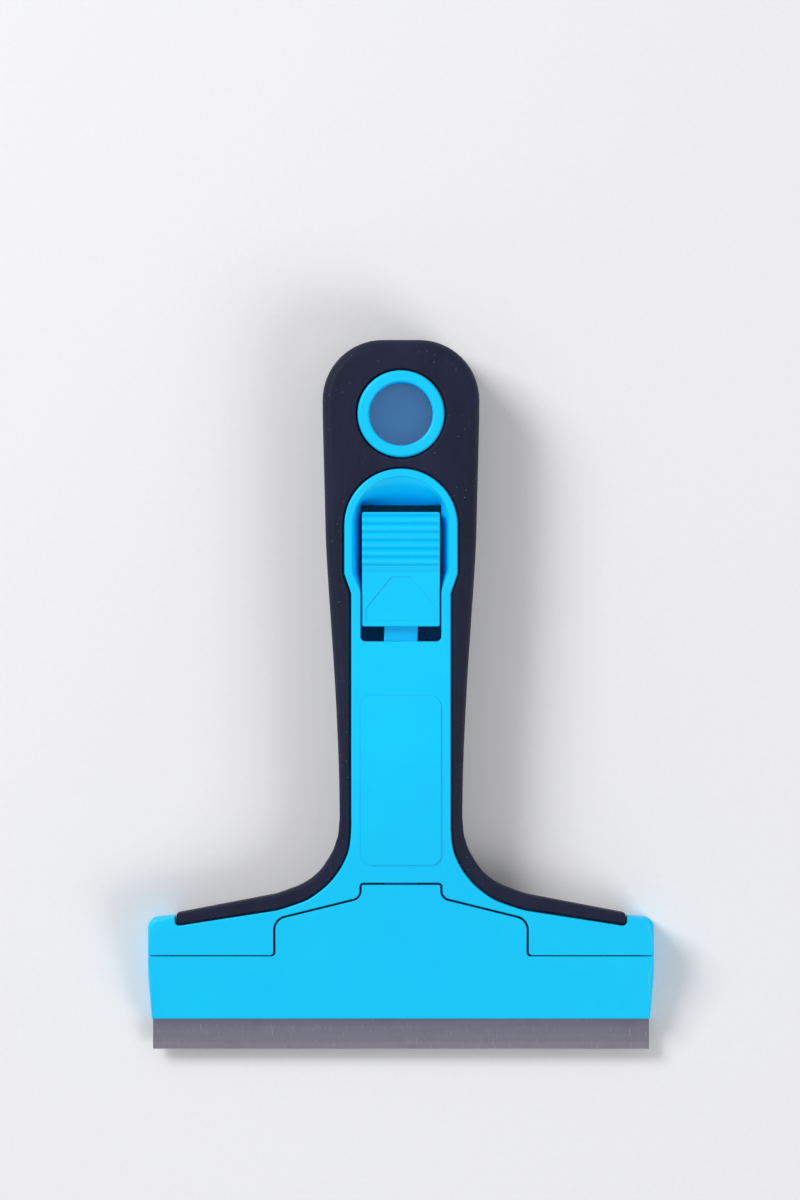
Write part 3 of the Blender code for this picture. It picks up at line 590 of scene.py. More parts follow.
# %% Blue ABS, moulded against spark eroded steel
def make_blue_abs():
    drift_size, rub_size, grain_size = 14, 5, 0.22
    rub_noise, satin = (0.35, 0.65), (0.36, 0.48)
    edge_reach, edge_paleness, edge_polish = 0.0004, 0.25, 0.08
    grain_depth = 0.000012
    material, tree, place = start_finish("blue_abs_moulded", roughness=0.42, specular=0.25)
    drift = add(tree, "TexNoise", {"Vector": place, "Scale": 1 / drift_size, "Detail": 3})
    cooled = add(tree, "MapRange", (drift, *usual_noise, 0, 1))
    body = add(tree, "Mix", (cooled, linear("#00CEFF"), linear("#00C8FF")), data_type="RGBA")
    edge = edge_share(tree, edge_reach)
    paler = add(tree, "Math", (edge, edge_paleness), operation="MULTIPLY")
    colour = add(tree, "Mix", (paler, body, linear("#2AD6FF")), data_type="RGBA")
    rub = add(tree, "TexNoise", {
        "Vector": place, "Scale": 1 / rub_size, "Detail": 5, "Roughness": 0.65,
    })
    rubbed = add(tree, "MapRange", (rub, *rub_noise, *satin))
    polish = add(tree, "Math", (edge, edge_polish), operation="MULTIPLY")
    roughness = add(tree, "Math", (rubbed, polish), operation="SUBTRACT")
    grain = add(tree, "TexNoise", {
        "Vector": place, "Scale": 1 / grain_size, "Detail": 2, "Roughness": 0.6,
    })
    return finish_surface(material, colour, roughness, grain, grain_depth)


blue_abs = make_blue_abs()

# %% [markdown]
# **Moulded TPE.** The grip is a soft rubber moulded over the blue case. It is nearly black with a
# cold cast, and matt, because its mould is sandblasted. Rubber holds on to dust: a few pale specks
# and faint rubbed patches are what tells it from hard black plastic. The blasted grain is about a
# tenth of a millimetre on the real grip and is drawn three times as coarse, so that it shows.

# %% Dark TPE, moulded against sandblasted steel
def make_soft_rubber():
    patch_size, scuff_size, speck_spacing, dust_size, grain_size = 9, 0.7, 1.33, 8, 0.3
    patch_stretch, scuff_stretch = 2.5, 9
    scuff_noise, scuff_paleness = (0.62, 0.8), 0.35
    dust_noise, dust_paleness, speck_rim = (0.45, 0.58), 0.75, (0.045, 0.09)
    edge_reach, edge_wear, matt, grain_depth = 0.0007, 0.4, (0.54, 0.7), 0.00004
    material, tree, place = start_finish("dark_tpe_moulded", roughness=0.62, specular=0.16)
    along = add(tree, "Mapping", {"Vector": place, "Scale": (1, 1 / patch_stretch, 1)})
    patches = add(tree, "TexNoise", {
        "Vector": along, "Scale": 1 / patch_size, "Detail": 5, "Roughness": 0.6,
    })
    patchy = add(tree, "MapRange", (patches, *usual_noise, 0, 1))
    body = add(tree, "Mix", (patchy, linear("#0C1124"), linear("#1D223C")), data_type="RGBA")
    edge = add(tree, "Math", (edge_share(tree, edge_reach), edge_wear), operation="MULTIPLY")
    worn = add(tree, "Mix", (edge, body, linear("#282D47")), data_type="RGBA")
    drawn_out = add(tree, "Mapping", {"Vector": place, "Scale": (1, 1 / scuff_stretch, 1)})
    scuffs = add(tree, "TexNoise", {
        "Vector": drawn_out, "Scale": 1 / scuff_size, "Detail": 4, "Roughness": 0.7,
        "Distortion": 0.4,
    })
    scuff = add(tree, "MapRange", (scuffs, *scuff_noise, 0, scuff_paleness))
    scuffed = add(tree, "Mix", (scuff, worn, linear("#434860")), data_type="RGBA")
    specks = add(tree, "TexVoronoi", {"Vector": place, "Scale": 1 / speck_spacing, "Randomness": 1})
    speck = add(tree, "MapRange", (specks, *speck_rim, 1, 0))
    dust = add(tree, "TexNoise", {"Vector": place, "Scale": 1 / dust_size, "Detail": 3})
    dusty = add(tree, "MapRange", (dust, *dust_noise, 0, dust_paleness))
    held = add(tree, "Math", (speck, dusty), operation="MULTIPLY")
    colour = add(tree, "Mix", (held, scuffed, linear("#7C8092")), data_type="RGBA")
    roughness = add(tree, "MapRange", (patches, *usual_noise, *matt))
    grain = add(tree, "TexNoise", {
        "Vector": place, "Scale": 1 / grain_size, "Detail": 3, "Roughness": 0.7,
    })
    return finish_surface(material, colour, roughness, grain, grain_depth)


soft_rubber = make_soft_rubber()

# %% [markdown]
# ** Ground carbon steel.** The blade is cut from hard strip. Grinding and wiping along its length
# leave soft bands. The strip is painted a dull blue grey near the jaw that turns warmer and lighter
# toward the edge, a painted reflection of the blue jaw and the light above. The last millimetre and
# a half is the bevel itself, where a wheel has taken the skin off. Use leaves a few short scratches
# at right angles to the edge. Bands and scratches are stretched noise in the colour, the roughness
# and the bump at once, which is what makes them move with the light. The scratches are drawn a
# quarter of a millimetre wide, coarser than real ones, so that they show.

# %% Carbon steel strip, ground at its edge
def make_blade_steel():
    band_size, scratch_size, stain_size = 0.7, 0.25, 6
    band_stretch, scratch_stretch = 40, 12
    painted_reflection_reach, bevel_start, bevel_full = 6, 1.4, 1.2
    band_noise, band_strength = (0.35, 0.7), 0.35
    stain_noise, stain_strength = (0.5, 0.75), 0.5
    scratch_noise, scratch_strength = (0.62, 0.7), 0.5
    dull_shine, band_depth = (0.28, 0.46), 0.000006
    edge_place = blade_edge * millimetres
    material, tree, place = start_finish("carbon_steel_ground", roughness=0.36, metallic=1)
    station = add(tree, "SeparateXYZ", {"Vector": place}, output="Y")
    # Bluer near the jaw and lighter toward the edge: a painted reflection of the blue jaw and the
    # light above.
    painted_reflection_share = add(tree, "MapRange", (station, edge_place + painted_reflection_reach, edge_place, 0, 1))
    strip = add(tree, "Mix", (painted_reflection_share, linear("#6E6F80"), linear("#7D7984")), data_type="RGBA")
    bevel = (edge_place + bevel_start, edge_place + bevel_full)
    ground = add(tree, "MapRange", (station, *bevel, 0, 1))
    fresh = add(tree, "Mix", (ground, strip, linear("#807B88")), data_type="RGBA")
    lengthwise = add(tree, "Mapping", {"Vector": place, "Scale": (1 / band_stretch, 1, 1)})
    bands = add(tree, "TexNoise", {
        "Vector": lengthwise, "Scale": 1 / band_size, "Detail": 6, "Roughness": 0.7,
    })
    band = add(tree, "MapRange", (bands, *band_noise, 0, band_strength))
    banded = add(tree, "Mix", (band, fresh, linear("#5E5C66")), data_type="RGBA")
    stains = add(tree, "TexNoise", {
        "Vector": place, "Scale": 1 / stain_size, "Detail": 5, "Roughness": 0.6, "Distortion": 0.6,
    })
    stain = add(tree, "MapRange", (stains, *stain_noise, 0, stain_strength))
    stained = add(tree, "Mix", (stain, banded, linear("#66626C")), data_type="RGBA")
    across = add(tree, "Mapping", {"Vector": place, "Scale": (1, 1 / scratch_stretch, 1)})
    scratches = add(tree, "TexNoise", {
        "Vector": across, "Scale": 1 / scratch_size, "Detail": 3, "Roughness": 0.6,
    })
    scratch = add(tree, "MapRange", (scratches, *scratch_noise, 0, scratch_strength))
    colour = add(tree, "Mix", (scratch, stained, linear("#A3A0AC")), data_type="RGBA")
    roughness = add(tree, "MapRange", (bands, *usual_noise, *dull_shine))
    height = add(tree, "Math", (bands, scratch), operation="SUBTRACT")
    return finish_surface(material, colour, roughness, height, band_depth)


blade_steel = make_blade_steel()

# %% [markdown]
# **Zinc plate.** Screws and spring are steel under a thin bright coat of zinc. It is pale and
# faintly cold, with small cloudy patches where the coat is thicker, and brighter where edges have
# been rubbed. The patches are coarser than the real crystals, which would be too fine to see.

# %% Steel, plated with bright zinc
cloud_noise = (0.35, 0.65)


def make_zinc():
    cloud_size, cloud_depth = 0.5, 0.000008
    edge_reach, edge_wear, bright_shine = 0.0002, 0.5, (0.22, 0.4)
    material, tree, place = start_finish("zinc_plated_steel", roughness=0.3, metallic=1)
    clouds = add(tree, "TexNoise", {
        "Vector": place, "Scale": 1 / cloud_size, "Detail": 4, "Roughness": 0.6,
    })
    cloudy = add(tree, "MapRange", (clouds, *cloud_noise, 0, 1))
    body = add(tree, "Mix", (cloudy, linear("#C6CBD0"), linear("#AEB4BC")), data_type="RGBA")
    edge = add(tree, "Math", (edge_share(tree, edge_reach), edge_wear), operation="MULTIPLY")
    colour = add(tree, "Mix", (edge, body, linear("#E2E2DE")), data_type="RGBA")
    roughness = add(tree, "MapRange", (clouds, *usual_noise, *bright_shine))
    return finish_surface(material, colour, roughness, clouds, cloud_depth)


zinc = make_zinc()

# %% [markdown]
# ** Dark pin steel.** The hinge pin turns in its holes. Its ends show only in the narrow gaps beside
# the jaw, which lie in shade, so it is painted a soft dark matt grey as painted shade, with fine
# clouds drawn coarser than any real grain.

# %% Steel pin, painted dark as shade
def make_pin_painted_shade():
    cloud_size, cloud_depth, matt = 0.4, 0.00001, (0.5, 0.68)
    material, tree, place = start_finish("pin_steel_painted_shade", roughness=0.6, metallic=1)
    clouds = add(tree, "TexNoise", {
        "Vector": place, "Scale": 1 / cloud_size, "Detail": 5, "Roughness": 0.7,
    })
    cloudy = add(tree, "MapRange", (clouds, *cloud_noise, 0, 1))
    # The dark grey is painted shade for the pin's ends in the shaded gaps beside the jaw.
    colour = add(tree, "Mix", (cloudy, linear("#26282C"), linear("#34363B")), data_type="RGBA")
    roughness = add(tree, "MapRange", (clouds, *usual_noise, *matt))
    return finish_surface(material, colour, roughness, clouds, cloud_depth)


pin_painted_shade = make_pin_painted_shade()

# %% [markdown]
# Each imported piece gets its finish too, whether or not a finer piece takes its place later.

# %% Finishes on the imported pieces
finishes = {
    "soft_grip": soft_rubber, "blade": blade_steel, "hinge_pin": pin_painted_shade, "button_spring": zinc,
}
for name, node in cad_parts.items():
    finish = zinc if name.startswith("screw") else finishes.get(name, blue_abs)
    node.data.materials.clear()
    node.data.materials.append(finish)
    print(name, finish.name)

# %% [markdown]
# ## The blue front
#
# The front cover is one thin moulding: a skin with a wall that comes down all round to meet the
# rear body. A large opening shows the button, a shallow panel is let into the spine, and at the
# head the cover leaves room for the jaw and its tongue. The gap to the jaw has to be wide enough
# for the tongue to swing back as it goes down.

# %% The cover's outline and openings
seam_corner_radius = 0.0007
window_half_width = 0.0081
window_front_station, window_back_station = 0.0822, 0.1095
window_corner_radius = 0.001
opening_start_station = 0.0922
dish_half_width = bulb_half_width - rim_width
dish_full_station = bulb_full_station + rim_width / 4
tongue_gap = 0.00045
tongue_half_width, tongue_slope_station = 0.02525, 0.02614
tongue_neck_half_width, tongue_neck_station = 0.0079, 0.03045
tongue_outer_radius, tongue_curve_radius, tongue_tip_radius = 0.0024, 0.002, 0.0004


def tongue_corners():
    return [
        (tongue_half_width, tongue_slope_station, tongue_outer_radius),
        (tongue_neck_half_width, tongue_neck_station, tongue_curve_radius),
        (tongue_neck_half_width, slope_end_station, tongue_tip_radius),
    ]


def cover_corners():
    """The cover's outline: along the seam from the tongue's side to the head's side, then round."""
    tongue = grown([(tongue_half_width, lip_station, 0), *tongue_corners()], tongue_gap)[1:]
    foot = (tongue[0][0], shoulder_front_station, seam_corner_radius)
    seam = [(0, tongue[-1][1], 0), *reversed(tongue), foot]
    sides = [(head_half_width, shoulder_front_station, 0), *head_back_corners(), *spine_corners()]
    return seam + sides


def opening_corners():
    """The hole in the face: the button's window, widened at its back into the thumb dish."""
    return [
        (window_half_width, window_front_station, window_corner_radius),
        (window_half_width, opening_start_station, rim_width),
        (dish_half_width, dish_full_station, rim_width),
        (dish_half_width, bulb_top_station - rim_width, dish_half_width),
    ]


print("half of the cover", len(cover_corners()), "corners, its opening", len(opening_corners()))

# %% [markdown]
# The skin is filled between the outlines and extruded. Its underside is then replaced by a narrow
# band along the rim, which goes on down as the wall, and by a flat ceiling inside it.

# %% The cover's skin, wall and panel
shell_wall = 0.0018
cover_wall = 0.0007
panel_half_width = 0.00805
panel_front_station, panel_back_station = 0.0373, 0.0714
panel_corner_radius = 0.0022
panel_depth = 0.0003


def block_corners(half_width, front, back, radius):
    return [(half_width, front, radius), (half_width, back, radius)]


def open_edges(builder):
    return [edge for edge in builder.edges if len(edge.link_faces) == 1]


def lower_to_underside(builder, edges):
    """Puts newly drawn edges on the layer of the underside."""
    bmesh.ops.translate(builder, verts=points_of(edges), vec=(0, 0, -layer))


def make_cover():
    builder = bmesh.new()
    outer = draw(builder, cover_corners())
    opening = draw(builder, opening_corners())
    panel = draw(builder, block_corners(
        panel_half_width, panel_front_station, panel_back_station, panel_corner_radius
    ))
    opening_spots = spots_of(opening)
    skin = fill(builder, outer + opening + panel)
    recess = fill(builder, panel)
    underside = sink(builder, skin + recess)
    bmesh.ops.delete(builder, geom=underside, context="FACES")
    rim = open_edges(builder)
    hole = [edge for edge in rim if spot(edge.verts[0]) in opening_spots]
    outside = [edge for edge in rim if spot(edge.verts[0]) not in opening_spots]
    wall = draw(builder, grown(cover_corners(), -cover_wall))
    lower_to_underside(builder, wall)
    fill(builder, wall + hole)
    sink(builder, fill(builder, wall + outside))
    return builder, skin, recess, opening_spots


builder, skin, recess, opening_spots = make_cover()
print("skin", len(skin), "faces, panel", len(recess), "faces")

# %% [markdown]
# Its rims differ. The head's outside is generously rounded for the hand, the seam to the jaw is
# nearly sharp so that it reads as a thin line, and the spine has a small round of its own.

# %% The cover's rounded rims
head_edge_round = 0.0014
cover_edge_round = 0.0004
seam_edge_round = 0.00015
opening_round = 0.00025
seam_reach = 2 * tongue_gap


def on_seam(vertex):
    """Whether a point of the cover's rim faces the jaw and its tongue."""
    x, station = abs(vertex.co.x), vertex.co.y - blade_edge
    if x < tongue_neck_half_width + seam_reach:
        return station < slope_end_station + seam_reach
    if x > tongue_half_width + seam_reach + seam_corner_radius:
        return station < shoulder_front_station + probe
    share = (x - tongue_neck_half_width) / (tongue_half_width - tongue_neck_half_width)
    slope = tongue_neck_station + (tongue_slope_station - tongue_neck_station) * min(share, 1)
    return station < slope + seam_reach


def cover_round(vertex):
    if spot(vertex) in opening_spots:
        return opening_round
    if on_seam(vertex):
        return seam_edge_round
    return head_edge_round if abs(vertex.co.x) > strip_end_half_width else cover_edge_round


round_rim(builder, skin + recess, cover_round)
bmesh.ops.inset_region(
    builder, faces=recess, thickness=probe, depth=-panel_depth, use_even_offset=True
)

# %% [markdown]
# Behind the button and beside it the face falls away, so that a thumb can get in. The dish starts
# as the opening's straight wall. Rings are cut into the wall and pulled in towards the window, and
# how deep they go depends on how far they have to travel: deep behind the button, hardly at all
# beside its front. Below, the wall returns to the skin, so the cover stays closed.

# %% The thumb dish
dish_end_depth = 0.006
dish_power = 1.5
dish_rings, return_rings = 9, 2


def opening_walls(builder):
    """The upright faces around the opening."""
    around = [face for face in builder.faces if stands_on(face, opening_spots)]
    return [
        face for face in around
        if abs(face.calc_center_median().z - face.verts[0].co.z) > probe
    ]


def make_dish(builder):
    """Pulls the opening's wall in towards the window, so that it falls to the button as a scoop."""
    top = -opening_round
    rings = dish_rings + return_rings
    for ring in range(1, rings + 1):
        height = top - (layer + top) * ring / (rings + 1)
        bmesh.ops.bisect_plane(
            builder, geom=region(opening_walls(builder)),
            plane_co=(0, 0, height), plane_no=(0, 0, 1), dist=cut_snap
        )
    reach = dish_half_width - window_half_width
    for vertex in builder.verts:
        ring = round((top - vertex.co.z) / (layer + top) * (rings + 1))
        if spot(vertex) not in opening_spots or not 0 < ring <= rings:
            continue
        here = Vector((*spot(vertex), 0))
        there = Vector((
            max(-window_half_width, min(window_half_width, here.x)),
            min(blade_edge + window_back_station, here.y), 0,
        ))
        share = min((there - here).length / reach, 1)
        depth = shell_wall + (dish_end_depth - shell_wall) * eased(share)
        if ring <= dish_rings:
            along = ring / dish_rings
            vertex.co = here.lerp(there, along)
            vertex.co.z = top - (depth + top) * along ** dish_power
        else:
            along = (ring - dish_rings) / return_rings
            vertex.co = there.lerp(here, along)
            vertex.co.z = -depth + (depth - shell_wall) * along


make_dish(builder)

# %% [markdown]
# The wall behind the tongue stands in the way of the lever's arm, so it gets a doorway. Two upright
# cuts on either side mark it, and once the cover has its heights, what lies between them is raised
# almost to the skin.

# %% The doorway for the lever's arm
shell_depth = 0.0046
arm_half_width, arm_side_gap = 0.0034, 0.0004
doorway_side, doorway_lintel = 0.0002, 0.0001
doorway_half_width = arm_half_width + arm_side_gap
doorway_end_station = slope_end_station + tongue_gap + cover_wall + seat_gap


def mark_doorway(builder):
    """Cuts the wall behind the tongue along the doorway's upright sides."""
    for x in (doorway_half_width, doorway_half_width + doorway_side):
        for side in (-1, 1):
            wall = [
                face for face in builder.faces if all(
                    vertex.co.z < -layer / 2 and vertex.co.y - blade_edge < doorway_end_station
                    for vertex in face.verts
                )
            ]
            bmesh.ops.bisect_plane(
                builder, geom=region(wall),
                plane_co=(side * x, 0, 0), plane_no=(1, 0, 0), dist=cut_snap
            )


def raise_doorway(builder):
    """Lifts the wall between the cuts almost to the underside of the skin."""
    for vertex in builder.verts:
        station = vertex.co.y - blade_edge
        ceiling = face_height(station) - shell_wall
        inside = abs(vertex.co.x) < doorway_half_width + probe and station < doorway_end_station
        if inside and vertex.co.z < ceiling - probe:
            vertex.co.z = ceiling - doorway_lintel


mark_doorway(builder)
cut_across(builder, profile_marks())
set_heights(builder, face_height, below_face(shell_wall), below_face(shell_depth - seat_gap / 2))
raise_doorway(builder)
finish_piece(builder, "front_cover", blue_abs, "frame", "blue_plastic", "front_shell")

# %% [markdown]
# ## The soft grip
#
# The grip is moulded over the hard body and wraps its sides. From above it is a U with a hole for
# the hanging ring: a slab on the face, and a skirt around the outside that goes almost down to the
# back. Its outline is two open chains, outside and inside, joined at the ends of the strips.

# %% Circles and joined chains
circle_steps = 72


def circle(builder, x, station, radius, steps=circle_steps):
    known = set(builder.edges)
    ring = bmesh.ops.create_circle(builder, segments=steps, radius=radius)
    bmesh.ops.translate(builder, verts=ring["verts"], vec=(x, blade_edge + station, 0))
    return [edge for edge in builder.edges if edge not in known]


def join_ends(builder, radius):
    """Closes two open chains into one outline, with rounded corners where they meet."""
    loose = [vertex for vertex in builder.verts if len(vertex.link_edges) == 1]
    for side in (1, -1):
        builder.edges.new([vertex for vertex in loose if vertex.co.x * side > 0])
    for vertex in loose:
        soften(builder, vertex, radius)


# %% [markdown]
# The inner chain keeps a small gap from the blue front. The slab's underside is divided by the
# side of the hard body, and what lies outside of it is extruded down as the skirt.

# %% The grip's slab and skirt
ring_station, ring_outer_radius = overall_length - 0.0149, 0.0087
strip_end_round = 0.0005


def grip_inner_chain():
    first, *rest = grown(head_back_corners() + spine_corners(), seat_gap)[2:]
    return [(first[0], first[1], 0), *rest]


def grip_outer_chain():
    first, *rest = grip_corners()
    return [(strip_end_half_width - seat_gap, first[1], 0), *rest]


def make_grip():
    builder = bmesh.new()
    inner = draw(builder, grip_inner_chain(), shut=False)
    inner_spots = spots_of(inner)
    draw(builder, grip_outer_chain(), shut=False)
    join_ends(builder, strip_end_round)
    outline = builder.edges[:]
    ring = circle(builder, 0, ring_station, ring_outer_radius + seat_gap)
    inner_spots |= spots_of(ring)
    face = fill(builder, outline + ring)
    underside = sink(builder, face)
    bmesh.ops.delete(builder, geom=underside, context="FACES")
    rim = open_edges(builder)
    outside = [edge for edge in rim if not stands_on(edge, inner_spots)]
    inside = [edge for edge in rim if stands_on(edge, inner_spots)]
    return builder, face, inner_spots, outside, inside


def chain_ends(edges):
    points = [vertex for edge in edges for vertex in edge.verts]
    return [vertex for vertex in points if points.count(vertex) == 1]


builder, face, inner_spots, outside, inside = make_grip()
seat = draw(builder, grown(body_side_corners(), seat_gap)[1:], shut=False)
lower_to_underside(builder, seat)
corners = chain_ends(inside)
for end in chain_ends(seat):
    nearest = min(corners, key=lambda corner: (corner.co - end.co).length)
    seat.append(builder.edges.new((end, nearest)))
band = fill(builder, outside + seat)
fill(builder, inside + seat)
seat_spots = spots_of(seat)
bottom = sink(builder, band)
print("grip face", len(face), "faces, skirt", len(bottom), "faces")

# %% [markdown]
# Rubber edges are soft. The round grows along the strip and is full on the handle, where it drops
# further than it is wide. Against the blue front it is small, so the seam stays a dark line.

# %% The grip's rounded edges
grip_face_round, grip_back_round, grip_round_drop = 0.0019, 0.0013, 1.5
strip_edge_round, grip_inner_round, grip_seat_round = 0.0008, 0.00035, 0.00005
grip_drop, grip_slab, grip_floor_height = 0.0004, 0.0032, 0.0006


def share_between(value, start, stop):
    """How far a value has come from a start to a stop, from nothing to one."""
    return min(max((value - start) / (stop - start), 0), 1)


def grip_size(vertex, full):
    """How far an outer edge is rounded, from the strip's end up to its full size."""
    strip = share_between(abs(vertex.co.x), strip_end_half_width, grip_foot[0])
    handle = share_between(vertex.co.y - blade_edge, neck_station, crest_start_station)
    small = grip_inner_round + (strip_edge_round - grip_inner_round) * strip
    return small + (full - small) * handle


def grip_face_size(vertex):
    return grip_inner_round if spot(vertex) in inner_spots else grip_size(vertex, grip_face_round)


def grip_back_size(vertex):
    return grip_seat_round if spot(vertex) in seat_spots else grip_size(vertex, grip_back_round)


round_rim(builder, face, grip_face_size, grip_round_drop)
round_rim(builder, bottom, grip_back_size, grip_round_drop)
cut_across(builder, profile_marks())
set_heights(builder, below_face(grip_drop), below_face(grip_slab), level(grip_floor_height))
finish_piece(builder, "grip_sleeve", soft_rubber, "frame", "soft_rubber", "soft_grip")

# %% [markdown]
# ## The lever
#
# The jaw, its arm and the button are one moulding in the real tool, here three pieces that ride on
# the same body. The jaw is the wide plate that holds the blade down. It follows the slope of the
# head, with a tongue that reaches into the cover, and its sides taper towards the lip.

# %% The jaw
lip_edge_round = 0.0004
jaw_skin, jaw_clearance, jaw_step = 0.0028, 0.0002, 0.0003
tongue_inner_radius = 0.0008


def jaw_corners():
    return [
        (lip_half_width, lip_station, 0), (head_half_width, taper_station, 0),
        (head_half_width, seam_station, tongue_tip_radius),
        (tongue_half_width, seam_station, tongue_inner_radius),
        *tongue_corners(),
    ]


def stepped(start, stop, before, after):
    """A height that changes from one profile to another between two stations."""
    def height(station):
        share = share_between(station, start, stop)
        return before(station) * (1 - share) + after(station) * share
    return height


def jaw_round(vertex):
    station = vertex.co.y - blade_edge
    on_side = abs(vertex.co.x) > blade_half_width and station < seam_station - tongue_tip_radius
    taper = share_between(station, lip_station, taper_station)
    side_round = lip_edge_round + (head_edge_round - lip_edge_round) * taper
    return side_round if on_side else seam_edge_round


builder = bmesh.new()
face = fill(builder, draw(builder, jaw_corners()))
sink(builder, face)
round_rim(builder, face, jaw_round)
cut_across(builder, profile_marks() + [blade_depth, blade_depth + jaw_step])
jaw_floor = stepped(
    blade_depth, blade_depth + jaw_step, level(blade_top + jaw_clearance), below_face(jaw_skin)
)
set_heights(builder, face_height, jaw_floor, level(0))
finish_piece(builder, "jaw_plate", blue_abs, "lever", "blue_plastic", "jaw_lever")

# %% [markdown]
# The arm runs back under the cover from the hinge pin to the button. Only its end shows, as the
# tab between the button and the front of the window. One filled rectangle is enough for it, made
# in the way of the larger mouldings, so that its top keeps the same distance from the face.

# %% The lever's arm
arm_drop, arm_depth, arm_root_depth, arm_overlap = 0.0024, 0.0046, 0.004, 0.0028
arm_edge_round = 0.0003
button_half_width = 0.0078
button_front_station, button_back_station = 0.0852, 0.1081


def middle_of(name):
    """Where a small CAD piece sits: across, along as a station, and its lowest point."""
    low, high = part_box(name)
    return (low.x + high.x) / 2, (low.y + high.y) / 2 - blade_edge, low.z


pin_station = middle_of("hinge_pin")[1]
builder = bmesh.new()
arm_corners = block_corners(arm_half_width, pin_station, button_front_station + arm_overlap, 0)
face = fill(builder, draw(builder, arm_corners))
sink(builder, face)
round_rim(builder, face, lambda vertex: arm_edge_round)
cut_across(builder, profile_marks())
arm_floor = stepped(
    pin_station, slope_end_station, below_face(arm_root_depth), below_face(arm_drop + arm_depth)
)
set_heights(builder, below_face(arm_drop), arm_floor, level(0))
finish_piece(builder, "lever_arm", blue_abs, "lever", "blue_plastic", "jaw_lever")

# %% [markdown]
# The button is a hollow cap. Six rounded ridges across its back half give the thumb a hold, and
# the front half is flat with a raised bare plate that has two corners cut off. The ridges could be
# six bevelled bars, but one profile along the button is simpler: cosines that meet in narrow
# grooves, with cross cuts at a sixteenth of the pitch, so that the surface can follow them.

# %% The button's profile
button_floor_height, button_flat_height = 0.0115, 0.0165
button_corner_radius, button_edge_round = 0.0005, 0.00025
button_wall, button_top_thickness = 0.0016, 0.0026
ridge_height, ridge_depth, ridge_pitch, ridge_count = 0.00105, 0.0006, 0.00166, 6
ridge_steps, ridge_fall = 16, 0.0016
ridges_length = ridge_pitch * (2 * ridge_count + 1) / 2
ridges_start_station = button_back_station - ridges_length
plate_half_width, plate_top_half_width, plate_height = 0.0071, 0.002, 0.0002
plate_front_station, plate_side_station, plate_back_station = 0.0863, 0.0889, 0.0952


def button_height(station):
    """Six rounded ridges, then a fall to the flat."""
    top = button_flat_height + ridge_height
    if station >= ridges_start_station:
        phase = (button_back_station - station) / ridge_pitch * math.pi
        return top - ridge_depth * (1 - abs(math.cos(phase)))
    share = min((ridges_start_station - station) / ridge_fall, 1)
    low = top - ridge_depth
    return low + (button_flat_height - low) * eased(share)


def button_marks():
    """Stations where the button's top needs an edge across."""
    step = ridge_pitch / ridge_steps
    count = math.ceil((ridges_length + ridge_fall) / step)
    return [button_back_station - step * index for index in range(1, count + 1)]


print(ridge_count, "ridges in", round(ridges_length, 4), "with", len(button_marks()), "cuts")

# %% [markdown]
# The plate is a region of its own in the drawing, lifted by a very thin inset once the rim has
# been rounded. From below the cap is hollowed by insetting its underside and extruding the rim.

# %% The button
builder = bmesh.new()
outline = draw(builder, block_corners(
    button_half_width, button_front_station, button_back_station, button_corner_radius
))
plate_outline = draw(builder, [
    (plate_half_width, plate_front_station, 0), (plate_half_width, plate_side_station, 0),
    (plate_top_half_width, plate_back_station, 0),
])
face = fill(builder, outline + plate_outline)
plate = fill(builder, plate_outline)
underside = sink(builder, face + plate)
rim = bmesh.ops.inset_region(
    builder, faces=underside, thickness=button_wall, use_even_offset=True
)["faces"]
sink(builder, rim)
round_rim(builder, face + plate, lambda vertex: button_edge_round)
bmesh.ops.inset_region(
    builder, faces=plate, thickness=probe, depth=plate_height, use_even_offset=True
)
cut_across(builder, button_marks())
button_ceiling = level(button_flat_height - button_top_thickness)
set_heights(builder, button_height, button_ceiling, level(button_floor_height))
finish_piece(builder, "press_button", blue_abs, "lever", "blue_plastic", "jaw_lever")

# %% [markdown]
# ## The back
#
# The picture doesn't show the back, so it is kept plain: a flat plate with six screw wells, as on
# tools of this kind. The rear body is the seat of the blade at the front and a shallow tray behind
# it, with a channel for the arm and room for the button and its spring.

# %% The rear body's outline and channel
body_wall = 0.0018
channel_half_width, channel_station, button_room_station = 0.0037, 0.0205, 0.0815


def body_corners():
    return [
        (lip_half_width, lip_station, 0), (head_half_width, taper_station, 0),
        *head_back_corners(), *body_side_corners(),
    ]


def cavity_corners():
    """A channel for the lever's arm, which opens into the room under the button."""
    inner = grown(body_corners(), -body_wall)
    room = [corner for corner in inner if corner[1] > button_room_station]
    return [
        (channel_half_width, channel_station, 0), (channel_half_width, button_room_station, 0),
        (room[0][0], button_room_station, 0), *room,
    ]


print("half of the body", len(body_corners()), "corners, its cavity", len(cavity_corners()))

# %% [markdown]
# The drawing holds the outline, the channel, the hole for the ring and the screw wells. It is
# extruded once as the plate, and all of it but the channel's floor is raised again as the walls.
# The wells are sunk in the same way. Boolean cuts would leave long thin faces around each of them.

# %% The rear body's plate and walls
ring_seam = 0.0001
well_radius, screw_hole_radius, screw_head_height = 0.0021, 0.0012, 0.0012
small_circle_steps = 36
screw_names = sorted(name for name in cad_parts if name.startswith("screw"))


def make_case():
    builder = bmesh.new()
    outer = draw(builder, body_corners())
    cavity = draw(builder, cavity_corners())
    ring = circle(builder, 0, ring_station, ring_outer_radius + ring_seam)
    rims, wells, ceilings = outer + cavity, {}, []
    for name in screw_names:
        x, station, low = middle_of(name)
        well = circle(builder, x, station, well_radius, small_circle_steps)
        hole = circle(builder, x, station, screw_hole_radius, small_circle_steps)
        ceilings += fill(builder, well + hole)
        wells[name] = spots_of(well + hole)
        rims += well
    raised = fill(builder, rims) + ceilings
    sheet = raised + fill(builder, cavity + ring)
    bmesh.ops.translate(builder, verts=builder.verts, vec=(0, 0, -layer))
    back = sink(builder, sheet)
    sink(builder, raised, -layer)
    return builder, back, wells


